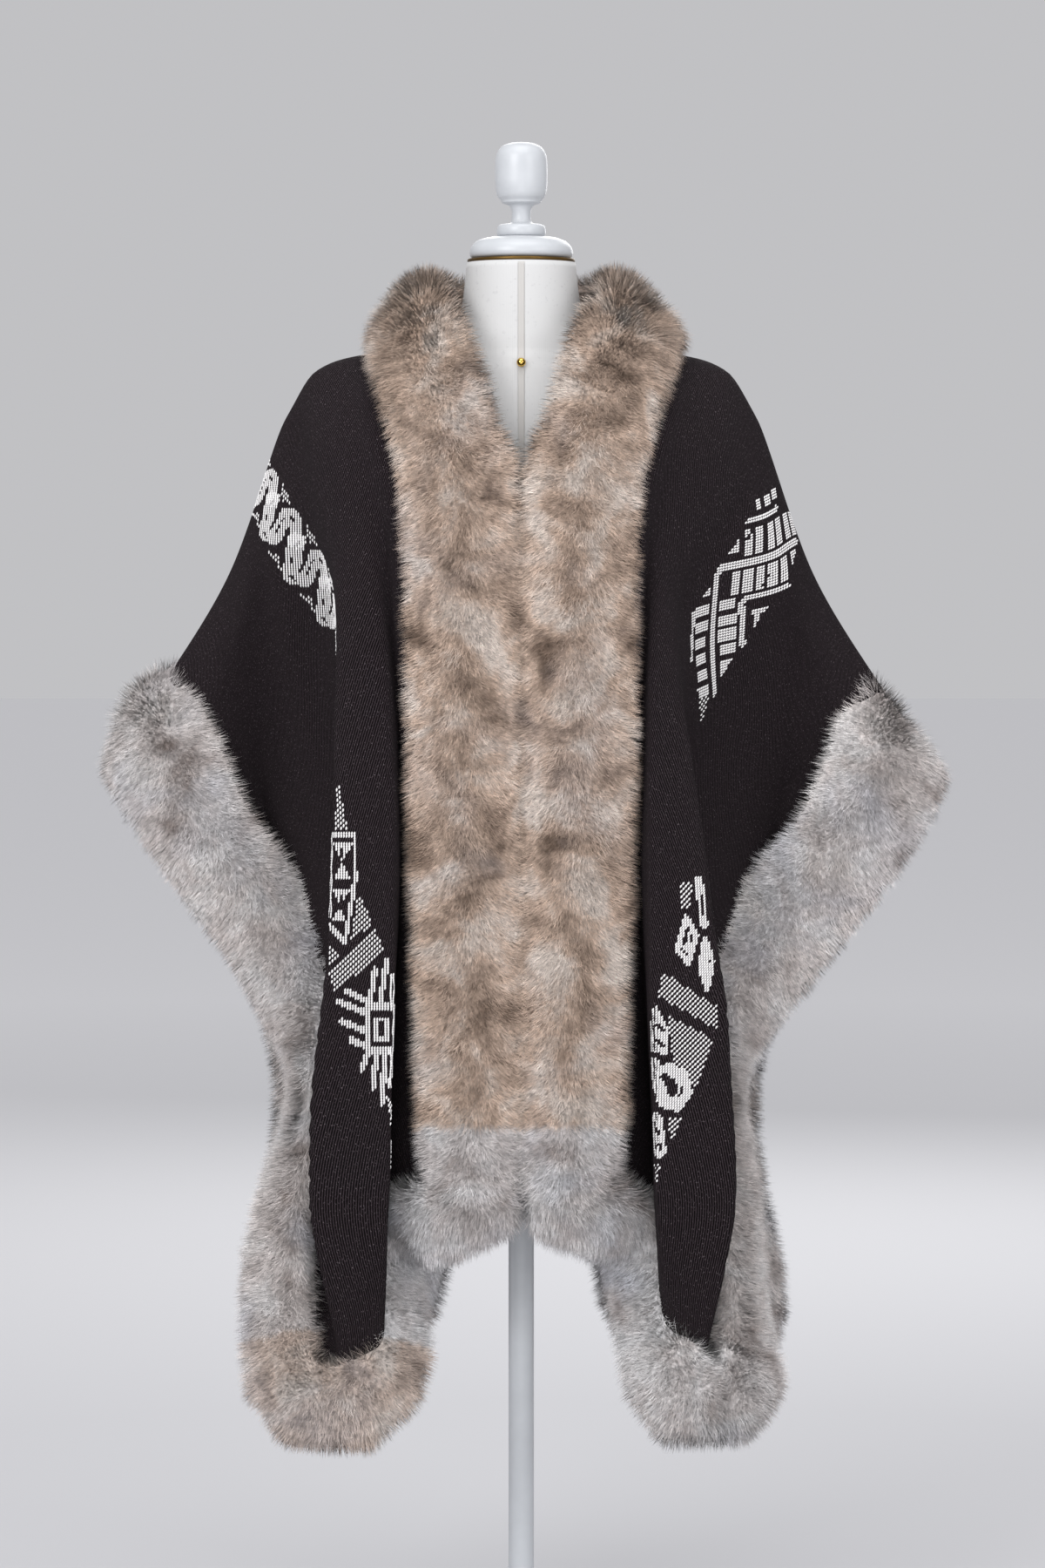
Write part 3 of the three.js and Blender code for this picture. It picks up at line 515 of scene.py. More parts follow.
drapes = {}
for side_name, side, front in SIDES:
    drape = draped_panel(side_name, side, front)
    drapes[side_name] = drape
    faces = quads(ROWS + 1, COLUMNS + 1)
    if side < 0:
        faces = [face[::-1] for face in faces]
    panel = mesh_piece(f"woven_panel_{side_name}", drape.reshape(-1, 3), faces, wool_twill)
    corner = np.empty(len(panel.data.loops), int)
    panel.data.loops.foreach_get("vertex_index", corner)
    row, column = np.divmod(corner, COLUMNS + 1)
    flat = np.stack([column / COLUMNS * PANEL_WIDTH, (row / ROWS * 2 - 1) * PANEL_HALF], axis=1)
    panel.data.uv_layers.new(name="cut").data.foreach_set("uv", flat.ravel())
    wall = panel.modifiers.new("wall", "SOLIDIFY")
    wall.thickness = CLOTH_WALL
    wall.offset = 0
    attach(panel, "root")
    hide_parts(f"cloth_front_{side_name}", f"cloth_back_{side_name}")

# ---------------------------------------------------------------- patterned bands
# Down each panel runs a band about 85 mm wide, brocaded in off-white yarn: every cell of the chart
# is one short float of yarn over the dark twill. The motifs are traditional scrolls, feathers,
# stepped diamonds and nets, charted here in cells.
CELL = 0.0027               # the real floats are about 2.7 mm apart
FLOAT_LENGTH, FLOAT_WIDTH, FLOAT_HEIGHT = 0.0035, 0.0023, 0.0009
FLOAT_SLANT = math.radians(24)
FLOAT_SEAT = 0.46           # how far out of the cloth's middle a float starts, in walls
CHART_EDGE = 4              # cells round a motif's corners that a thick line may reach into
MARCH_STEPS = 48            # small steps in which the walk from a motif's start to a cell is made


def rows_of(across, along, size, pitch, count):
    """Like blocks in a row: each begins one pitch after the last."""
    return [("fill", [(x, y), (x + size[0], y), (x + size[0], y + size[1]), (x, y + size[1])])
            for x, y in ((across + i * pitch[0], along + i * pitch[1]) for i in range(count))]


SCROLL_REPEAT = (11.8, 18.2)
SCROLL_END = (("net", [(-6, -12), (5, -10), (3.5, 8), (1, 6)]),)
SCROLL = (
    ("line", [(-4, -12.5), (-6.2, 2.6), (-1.2, 4.2), (3.4, -5.4), (6.4, -4.6), (7.8, 5.7)], 7.0),
    ("gap", [(1.0, -0.6), (1.4, -1.4)], 1.0), ("gap", [(2.2, -3.0), (2.6, -3.8)], 1.0),
    ("gap", [(-2.6, 0.5), (0.6, -7.4)], 1.5), ("gap", [(2.2, 8.2), (5.0, 0.6)], 1.7),
    ("gap", [(9.4, 5.6), (5.6, 10.4)], 1.2),
    ("gap", [(-6.4, 3.2), (-5.4, 4.6)], 1.3), ("gap", [(6.2, -4.8), (7.2, -3.4)], 1.3),
    ("gap", [(-0.4, 2.4), (0.6, 0.2)], 1.1), ("gap", [(-6.0, -5.0), (-5.6, -3.4)], 1.2),
    ("net", [(-0.9, -14), (0.6, -14), (-2.0, -3), (-3.4, -3)]),
    ("net", [(0.7, -19.5), (6.6, -10.2), (1.2, -11.6)]), ("net", [(-16, -8.4), (-10.6, -5.2), (-9.8, 1.4)]),
)
FEATHER = (
    ("line", [(33, 0), (0.8, 0), (-0.2, 2), (-0.6, 47)], 2.2),
    ("line", [(26, 13.8), (11, 13.8), (9.8, 15), (11, 31)], 2.2),
    ("line", [(10.6, -15), (24, -16)], 2.0), ("line", [(-9.2, 14), (-11.3, 31)], 1.8),
    *rows_of(9.2, -12.4, (3.3, 9.6), (4.5, 0), 6), *rows_of(5.2, 2.6, (3.3, 8.6), (4.6, 0), 5),
    ("fill", [(28.2, 2.6), (32, 2.6), (28.6, 8)]),
    *rows_of(14.4, -22, (2.6, 4), (4.2, -0.6), 3),
    *rows_of(1.6, 12.6, (6.4, 4.2), (0.2, 5.7), 4), ("fill", [(2.4, 35.6), (7.8, 35.2), (3, 42)]),
    *rows_of(-8.4, 12.8, (5.6, 4.2), (-0.1, 5.9), 6),
    ("fill", [(3.8, -5), (7.6, -9.8), (7.4, -4.6)]), ("fill", [(-5.4, 9.4), (-2, 4.6), (-2.4, 9)]),
    ("fill", [(13.6, 18.2), (21.4, 18.0), (16.8, 20.8), (15.2, 27)]),
    ("net", [(-9.7, 41), (-3.4, 47), (-6.6, 58)]),
    ("gap", [(12.6, -12.2), (10.4, -9)], 1.0), ("gap", [(19, 7), (17, 10)], 0.9),
)
EYE = (
    # a tall box of stepped triangles, and a net beside it
    ("net", [(-13, 17), (-10.5, -5), (-7.6, 17)]),
    ("line", [(-13.5, 18.4), (-5.6, 18.4)], 1.7), ("line", [(-4.4, 33), (-8.4, 60), (-14.6, 53)], 1.8),
    ("fill", [(-13.4, 22), (-5.8, 22), (-9.8, 29)]), ("fill", [(-13.4, 36), (-6.2, 36), (-9.8, 29)]),
    ("fill", [(-13.4, 40), (-6.8, 40), (-10.4, 46)]), ("fill", [(-13.8, 52), (-8.0, 52), (-10.4, 46)]),
    ("line", [(-14.6, 20), (-14.6, 50)], 1.5), ("line", [(-5.0, 20), (-5.2, 36)], 1.5),
    ("gap", [(-9.8, 24), (-9.8, 27)], 1.2), ("gap", [(-10.2, 42), (-10.2, 45)], 1.2),
    ("net", [(-3.5, 40.5), (2.4, 53), (-6.4, 58.5)]), ("net", [(-14.6, 60), (-9.4, 64.6), (-14.6, 69)]),
    ("net", [(-14.5, 71), (3.0, 54.6), (6.8, 62.6), (-12, 79)]),
    # the eye: a square in a square, with rays
    ("line", [(0.6, 84), (0.6, 101), (10.6, 101), (10.6, 84), (0.6, 84)], 2.0),
    ("line", [(3.6, 89), (3.6, 96.6), (7.6, 96.6), (7.6, 89), (3.6, 89)], 1.8),
    ("line", [(1.4, 82), (3.2, 70)], 2.2), ("line", [(5.0, 84), (7.6, 66.4)], 2.2),
    ("line", [(9.4, 84), (9.8, 72)], 2.0),
    ("line", [(0.6, 82.4), (-7.4, 78.2)], 2.4), ("line", [(0.2, 86.6), (-10.8, 82.4)], 2.4),
    ("line", [(-0.4, 93.4), (-9.2, 90)], 2.4), ("line", [(0, 99.6), (-5.6, 97)], 2.4),
    ("line", [(0.8, 100), (-1.6, 108)], 2.2), ("line", [(3.6, 102), (2.2, 115)], 2.2),
    ("line", [(6.6, 102), (5.4, 121)], 2.2), ("line", [(9.6, 102), (8.8, 115)], 2.0),
    ("net", [(6.6, 117), (11, 121), (9.2, 132)]), ("net", [(9.2, 134), (11.4, 137), (10, 148)]),
)
DIAMONDS = (
    ("net", [(-1, 4), (3.4, 4), (2.4, 14), (-1, 14)]),
    ("line", [(6.2, 3), (7.4, 20)], 3.4), ("gap", [(6.8, 9), (7.2, 16)], 0.9),
    ("line", [(0.4, 17), (4.0, 24), (0.6, 34.6), (-3.6, 29), (0.4, 17)], 2.2),
    ("line", [(1.4, 23), (0.2, 29.6), (-1.6, 28)], 1.5),
    ("line", [(7.4, 25), (10.2, 34), (7.6, 44.6), (5.2, 36), (7.4, 25)], 2.0),
    ("line", [(7.6, 31), (7.6, 39)], 1.4),
    ("net", [(-9.7, 37.5), (11.8, 51.4), (11.2, 60), (-11.8, 46.7)]),
    ("net", [(-8, 54), (9.5, 63.4), (3.7, 82.5), (-5.5, 73.3)]), ("gap", [(-10, 50), (9, 61.8)], 2.0),
    ("fill", [(-12.6, 49), (-7.2, 60), (-7.2, 70), (-14, 68), (-14, 56.7)]),
    ("gap", [(-11.4, 58), (-9.6, 60)], 1.3), ("gap", [(-11.6, 64), (-9.4, 66.4)], 1.3),
    # the curl
    ("line", [(-12.6, 73), (-11.4, 80), (-8.2, 87.6), (-3.6, 88.6), (-0.2, 83.6), (-2.4, 77.6),
              (-7.0, 74.6)], 5.0),
    ("gap", [(-9.4, 78), (-5.2, 83.4)], 1.6), ("gap", [(-1.8, 82), (-2.8, 85)], 1.0),
    ("net", [(-6.9, 93.6), (-0.7, 93), (-5.3, 103)]),
    ("line", [(-11.4, 94.4), (-9.4, 106.4)], 5.4), ("gap", [(-10.8, 98), (-10.2, 99.6)], 1.3),
    ("gap", [(-9.6, 104), (-9.0, 105.4)], 1.3),
    ("net", [(-12, 112), (-8.4, 112), (-10.4, 122)]),
)
# One row for each use of a motif: where its own origin lies on the flat panel [across, along] in
# metres, the cell that is there, how one cell across and one along run on the weave, and repeats.
BACKWARDS = ((-1, 0), (0, -1))      # down the back, away from the shoulder
BANDS = {
    "left": (
        (SCROLL, (0.222, 0.175), (0, 0), ((1.02, 0.46), (-0.33, 0.78)), range(-3, 2)),
        (SCROLL_END, (0.222, 0.175), (0, 0), ((1.02, 0.46), (-0.33, 0.78)), (2,)),
        (EYE, (0.214, 0.597), (0, 64), ((0.94, 0.20), (-0.20, 0.93)), (0,)),
        (FEATHER, (0.214, -0.29), (0, 0), BACKWARDS, (0,)),
        (DIAMONDS, (0.214, -0.47), (0, 0), BACKWARDS, (0,)),
    ),
    "right": (
        (FEATHER, (0.206, 0.175), (0, 0), ((0.89, -0.76), (0.45, 0.88)), (0,)),
        (DIAMONDS, (0.244, 0.653), (-2.6, 58.9), ((0.93, -0.20), (0.20, 0.93)), (0,)),
        (SCROLL, (0.214, -0.24), (0, 0), ((-1, -0.3), (0.65, -1)), range(-2, 4)),
        (EYE, (0.230, -0.42), (0, 0), BACKWARDS, (0,)),
    ),
}


def in_outline(x, y, corners):
    """Which cells lie in a closed outline, by the even-odd rule."""
    hit = np.zeros(x.shape, bool)
    for (x0, y0), (x1, y1) in zip(corners, [*corners[1:], corners[0]]):
        if y0 != y1:
            hit ^= ((y0 > y) != (y1 > y)) & (x < x0 + (x1 - x0) * (y - y0) / (y1 - y0))
    return hit


def by_line(x, y, points, width):
    """Which cells lie within half a width of a line through points."""
    hit = np.zeros(x.shape, bool)
    for (x0, y0), (x1, y1) in zip(points, points[1:]):
        dx, dy = x1 - x0, y1 - y0
        share = np.clip(((x - x0) * dx + (y - y0) * dy) / (dx * dx + dy * dy), 0, 1)
        hit |= np.hypot(x - x0 - share * dx, y - y0 - share * dy) <= width / 2
    return hit


def charted(motif):
    """The cells of a motif that carry a float: [across, along] pairs."""
    corners = np.array([point for shape in motif for point in shape[1]])
    low, high = np.floor(corners.min(0)) - CHART_EDGE, np.ceil(corners.max(0)) + CHART_EDGE + 1
    x, y = np.meshgrid(np.arange(low[0], high[0]), np.arange(low[1], high[1]))
    worn = np.zeros(x.shape, bool)
    for kind, points, *width in motif:
        if kind == "line":
            worn |= by_line(x, y, points, *width)
        elif kind == "gap":
            worn &= ~by_line(x, y, points, *width)
        else:
            worn |= in_outline(x, y, points) & ((x + y) % 2 == 0 if kind == "net" else True)
    return np.stack([x[worn], y[worn]], axis=1)


def at_place(grid, column, row):
    """Values of a grid between its points."""
    c0 = np.clip(np.floor(column).astype(int), 0, COLUMNS - 1)
    r0 = np.clip(np.floor(row).astype(int), 0, ROWS - 1)
    c, r = (np.clip(column, 0, COLUMNS) - c0)[:, None], (np.clip(row, 0, ROWS) - r0)[:, None]
    return ((grid[r0, c0] * (1 - c) + grid[r0, c0 + 1] * c) * (1 - r)
            + (grid[r0 + 1, c0] * (1 - c) + grid[r0 + 1, c0 + 1] * c) * r)


def walked(drape, start, steps, side):
    """Places on the draped panel reached by walking straight along the weave from one place."""
    by_column, by_row = np.gradient(drape, axis=1), np.gradient(drape, axis=0)
    column = np.full(len(steps), start[0] / PANEL_WIDTH * COLUMNS)
    row = np.full(len(steps), (start[1] / PANEL_HALF + 1) / 2 * ROWS)
    for _ in range(MARCH_STEPS):
        weft, warp = at_place(by_column, column, row), at_place(by_row, column, row)
        reach = np.linalg.norm(warp, axis=1, keepdims=True)
        down = warp / reach
        lean = (weft * down).sum(1, keepdims=True)
        square = np.linalg.norm(weft - lean * down, axis=1)
        moved = side * steps[:, 0] / MARCH_STEPS / square
        row += (steps[:, 1] / MARCH_STEPS - lean[:, 0] * moved) / reach[:, 0]
        column += moved
    weft, warp = at_place(by_column, column, row), at_place(by_row, column, row)
    return column, row, weft, warp


def new_tree(name, inputs):
    """A Geometry Nodes tree that takes a mesh, named inputs and a material; and what it is given."""
    tree = bpy.data.node_groups.new(name, "GeometryNodeTree")
    for label, kind in (("Geometry", "Geometry"), *inputs, ("Material", "Material")):
        tree.interface.new_socket(label, in_out="INPUT", socket_type=f"NodeSocket{kind}")
    tree.interface.new_socket("Geometry", in_out="OUTPUT", socket_type="NodeSocketGeometry")
    return tree, node(tree, "NodeGroupInput").outputs


def end_tree(tree, given, copies):
    """The end of a tree: its copies become real and take their material."""
    real = node(tree, "GeometryNodeRealizeInstances", {"Geometry": copies})
    finished = node(tree, "GeometryNodeSetMaterial", {"Geometry": real, "Material": given["Material"]})
    node(tree, "NodeGroupOutput", {"Geometry": finished})
    return tree


def float_tree():
    """Geometry Nodes: a ridged bundle of yarn at every point, lying along the weave."""
    sizes = (("X", "Float Width"), ("Y", "Float Length"), ("Z", "Float Height"))
    tree, given = new_tree("yarn floats", [(size, "Float") for _, size in sizes])

    # the bundle: highest along its middle, and lower and narrower towards its ends
    strip = node(tree, "GeometryNodeMeshGrid", {
        "Size X": 1.0, "Size Y": 1.0, "Vertices X": 3, "Vertices Y": 3})
    at = node(tree, "ShaderNodeSeparateXYZ", {"Vector": node(tree, "GeometryNodeInputPosition")}).outputs
    kept = {}
    for axis, least in (("X", 0.0), ("Y", 0.35)):
        away = node(tree, "ShaderNodeMath", {0: at[axis]}, operation="ABSOLUTE")
        kept[axis] = node(tree, "ShaderNodeMapRange", {
            "Value": away, "From Max": 0.5, "To Min": 1.0, "To Max": least})
    shape = {"Y": at["Y"]}
    for axis, part in (("X", at["X"]), ("Z", kept["X"])):
        shape[axis] = node(tree, "ShaderNodeMath", {0: part, 1: kept["Y"]}, operation="MULTIPLY")
    place = node(tree, "ShaderNodeCombineXYZ", {
        axis: node(tree, "ShaderNodeMath", {0: shape[axis], 1: given[size]}, operation="MULTIPLY")
        for axis, size in sizes})
    bundle = node(tree, "GeometryNodeSetPosition", {"Geometry": strip, "Position": place})

    # laid on the cloth, turned to the weave
    out, lie = (node(tree, "GeometryNodeInputNamedAttribute", {"Name": name}, data_type="FLOAT_VECTOR")
                for name in ("out", "lie"))
    upright = node(tree, "FunctionNodeAlignRotationToVector", {"Vector": out}, axis="Z")
    facing = node(tree, "FunctionNodeAlignRotationToVector", {
        "Rotation": upright, "Vector": lie}, axis="Y", pivot_axis="Z")
    return end_tree(tree, given, node(tree, "GeometryNodeInstanceOnPoints", {
        "Points": given["Geometry"], "Instance": bundle, "Rotation": facing}))


def grown(name, ground, tree, settings):
    """What a Geometry Nodes tree makes on a mesh, as a plain mesh."""
    made = bpy.data.objects.new(name, ground)
    bpy.context.scene.collection.objects.link(made)
    grower = made.modifiers.new("grower", "NODES")
    grower.node_group = tree
    sockets = {item.name: item.identifier for item in tree.interface.items_tree if item.in_out == "INPUT"}
    for setting, value in settings.items():
        grower[sockets[setting]] = value
    evaluated = made.evaluated_get(bpy.context.evaluated_depsgraph_get())
    mesh = bpy.data.meshes.new_from_object(evaluated)
    made.modifiers.remove(grower)
    made.data = mesh
    mesh.name = name
    return made


# Off-white wool yarn, loosely spun: dull, and a little uneven in tone every 2 to 3 mm, with painted shade
# that greys it where its bumps dip.
tree, shader, white_yarn = material("off-white wool yarn")
place = node(tree, "ShaderNodeTexCoord").outputs["Object"]
spun_tone_and_dip_shade = node(tree, "ShaderNodeTexNoise", {"Vector": place, "Scale": 420, "Detail": 3})
wire(tree, shader, {
    "Roughness": 0.9, "Specular IOR Level": 0.2,
    # painted shade: the colour is greyer where the same noise sinks the bumps
    "Base Color": node(tree, "ShaderNodeMix", {
        "Factor": spun_tone_and_dip_shade, "A": linear("#cdcacb"), "B": linear("#fdfcfb")}, data_type="RGBA"),
    "Normal": node(tree, "ShaderNodeBump", {"Height": spun_tone_and_dip_shade, "Strength": 0.4, "Distance": 0.0005}),
})

YARN_TREE = float_tree()
for side_name, side, _ in SIDES:
    drape = drapes[side_name]
    normals = surface_normals(drape)
    spots = []
    for motif, start, own, weave, repeats in BANDS[side_name]:
        cells = charted(motif) - own
        for repeat in repeats:
            steps = (cells + np.array(SCROLL_REPEAT) * repeat) @ np.array(weave) * CELL
            column, row, weft, warp = walked(drape, start, steps, side)
            kept = (column > 1) & (column < COLUMNS - 1) & (row > 1) & (row < ROWS - 1)
            down = warp / np.linalg.norm(warp, axis=1, keepdims=True)
            right = side * (weft - (weft * down).sum(1, keepdims=True) * down)
            right /= np.linalg.norm(right, axis=1, keepdims=True)
            lie = math.cos(FLOAT_SLANT) * down - math.sin(FLOAT_SLANT) * right
            out = at_place(normals, column, row)
            spot = at_place(drape, column, row) + out * CLOTH_WALL * FLOAT_SEAT
            spots.append(np.concatenate([spot, lie, out], axis=1)[kept])
    spots = np.concatenate(spots)
    ground = bpy.data.meshes.new("cells")
    ground.from_pydata(spots[:, :3].tolist(), [], [])
    for name, values in (("lie", spots[:, 3:6]), ("out", spots[:, 6:])):
        ground.attributes.new(name, "FLOAT_VECTOR", "POINT").data.foreach_set("vector", values.ravel())
    band = grown(f"band_floats_{side_name}", ground, YARN_TREE, {
        "Float Length": FLOAT_LENGTH, "Float Width": FLOAT_WIDTH, "Float Height": FLOAT_HEIGHT,
        "Material": white_yarn})
    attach(band, "root")

# ---------------------------------------------------------------- fur trim
# Deep alpaca-like fur trims the cape all round. Each strip is a skin folded over the cloth's edge,
# with a dense soft pile that is combed away from the strip's middle and downwards.
STRETCHES = ("front_upper", "front_lower", "hem_front", "corner_front", "side_front", "side_back",
             "corner_back", "hem_back")
PILE_GROUPS = {
    "front": ("front_upper", "front_lower"),
    "hem_front": ("hem_front", "corner_front"),
    "side_front": ("side_front",),
    "side_back": ("side_back",),
    "hem_back": ("hem_back", "corner_back"),
    "collar": ("collar",),
}
# how grey each stretch is: the front strips and the collar are brown, and the rest fades to grey
GREY = {"front_upper": 0.0, "collar": 0.0, "front_lower": 0.9, "hem_front": 1.0, "side_front": 0.8,
        "side_back": 0.8, "corner_back": 0.7, "hem_back": 0.9}
CORNER_GREY = {"left": 0.25, "right": 0.9}
PELT_VOXEL = 0.0065
PELT_DEPTH = 0.005          # how far the skin lies under the trim's outer reach
CENTRE_LAP = 0.03           # how far the skins run past the centre line, so that they join there
PELT_SOFTEN, PELT_SETTLE = 6, 2          # rounds of smoothing before and after its swells
PILE = {"Density": 450000.0, "Hair Length": 0.0165, "Hair Width": 0.0007,
        "Stand": 0.8, "Swirl": 1.0, "Swirl Scale": 30.0, "Jitter": 0.32}
FIRST_SEED, TINT_SEED = 11, 7
OPENING_POINTS, HEM_POINTS, SIDE_POINTS = 160, 70, 240
COMB_REACH, COMB_DOWN = 0.055, 0.4       # how far out the comb pulls fully, and its pull downwards
# the pile is full where it faces the front, thinner elsewhere, and thin where it faces the wearer
FULL_FRONT, FULL_ELSEWHERE, FULL_INSIDE = 1.15, 0.9, 0.3
FACES_FRONT, FACES_IN = -0.2, 0.5
LUMP_SIZE, LUMP_HEIGHT = 0.030, 0.0035   # the pelt's own soft hollows and swells
APEX_SWELL, APEX_REACH = 0.010, 0.070    # the pelt is fullest where it rounds the wing's point
# where the pelt lies flatter, or is pushed along: the place, its reach each way and the shift, in mm
SHIFTS = {
    "left": (
        ((-396, 26, 1010), (70, 90, 60), (0, 0, -8)), ((-285, 60, 570), (38, 150, 140), (22, 0, 0)),
        ((-224, -100, 385), (22, 60, 70), (13, 0, 0)), ((-186, -160, 338), (46, 40, 34), (0, -5, 20)),
        ((-54, -150, 532), (46, 60, 50), (0, -10, -7)),
    ),
    "right": (
        ((396, 26, 1010), (70, 90, 60), (-9, 0, -28)), ((285, 60, 560), (44, 150, 150), (-34, 0, 0)),
        ((206, -110, 350), (20, 60, 60), (-11, 0, 0)), ((182, -165, 338), (46, 40, 42), (0, -6, 40)),
        ((172, -20, 1362), (46, 70, 46), (13, 0, 0)), ((256, -130, 262), (34, 90, 34), (-26, 0, 10)),
        ((52, -150, 534), (46, 60, 50), (0, -10, -6)),
    ),
}
MEET_FROM, MEET_WITHIN = 1.278, 0.05     # below this height the front strips' inner flanks meet
MEET_SHIFT, MEET_GAP = 0.011, 0.0006
MEET_EDGE, MEET_START = 0.01, 0.03       # over which the shift fades in from the side and from above


def fur_nodes(side_name):
    """This side's fur nodes by stretch, with the collar's."""
    found = {stretch: f"fur_{stretch}_{side_name}" for stretch in STRETCHES}
    found["collar"] = "fur_collar_back"
    return found


def skin_form(side_name, side):
    """One smooth closed skin under the whole of a side's trim."""
    across_centre = ("fur_collar_back", f"fur_hem_back_{'right' if side < 0 else 'left'}")
    joined = bmesh.new()
    for name in [*fur_nodes(side_name).values(), across_centre[1]]:
        part = bmesh.new()
        part.from_mesh(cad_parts[name].data)
        bmesh.ops.remove_doubles(part, verts=part.verts, dist=1e-5)
        if name in across_centre:
            cut = bmesh.ops.bisect_plane(
                part, geom=[*part.verts, *part.edges, *part.faces], plane_co=(-side * CENTRE_LAP, 0, 0),
                plane_no=(-side, 0, 0), clear_outer=True)["geom_cut"]
            bmesh.ops.holes_fill(part, edges=[edge for edge in cut if isinstance(edge, bmesh.types.BMEdge)])
        copy = bpy.data.meshes.new("part")
        part.to_mesh(copy)
        joined.from_mesh(copy)
        part.free()
        bpy.data.meshes.remove(copy)
    mesh = bpy.data.meshes.new("skin")
    joined.to_mesh(mesh)
    joined.free()
    made = bpy.data.objects.new("skin", mesh)
    bpy.context.scene.collection.objects.link(made)
    lumps = bpy.data.textures.new("lumps", "CLOUDS")
    lumps.noise_scale = LUMP_SIZE
    for name, kind, settings in (
        ("remesh", "REMESH", {"mode": "VOXEL", "voxel_size": PELT_VOXEL}),
        ("soften", "SMOOTH", {"factor": 0.5, "iterations": PELT_SOFTEN}),
        ("sink", "DISPLACE", {"strength": -PELT_DEPTH, "mid_level": 0}),
        ("swell", "DISPLACE", {"texture": lumps, "texture_coords": "LOCAL", "strength": 2 * LUMP_HEIGHT,
                               "mid_level": 0.5}),
        ("settle", "SMOOTH", {"factor": 0.5, "iterations": PELT_SETTLE}),
    ):
        modifier = made.modifiers.new(name, kind)
        for setting, value in settings.items():
            setattr(modifier, setting, value)
    result = bpy.data.meshes.new_from_object(made.evaluated_get(bpy.context.evaluated_depsgraph_get()))
    bpy.data.objects.remove(made)
    return result


def stretch_of(points, names):
    """The stretch whose solid is nearest to each point."""
    best = np.full(len(points), np.inf)
    index = np.zeros(len(points), int)
    for number, name in enumerate(names.values()):
        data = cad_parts[name].data
        tree = BVHTree.FromPolygons([v.co for v in data.vertices], [p.vertices for p in data.polygons])
        distance = np.array([tree.find_nearest(p)[3] for p in points])
        closer = distance < best
        best[closer], index[closer] = distance[closer], number
    return index


def trim_line(front, side):
    """Points along the middle of a side's trim, in metres: opening, front hem, side, back hem."""
    last = float(len(SHOULDER) - 1)
    runs = [
        cloth_surface(front, np.array([0.0]), np.linspace(-STATIONS[1], 1, OPENING_POINTS))[0],
        cloth_surface(front, np.linspace(0, last, HEM_POINTS), np.array([1.0]))[:, 0],
        cloth_surface(front, np.array([last]), np.linspace(1, -1, SIDE_POINTS))[0],
        cloth_surface(front, np.linspace(last, 0, HEM_POINTS), np.array([-1.0]))[:, 0],
    ]
    return np.concatenate(runs) * (side, 1, 1) * MM


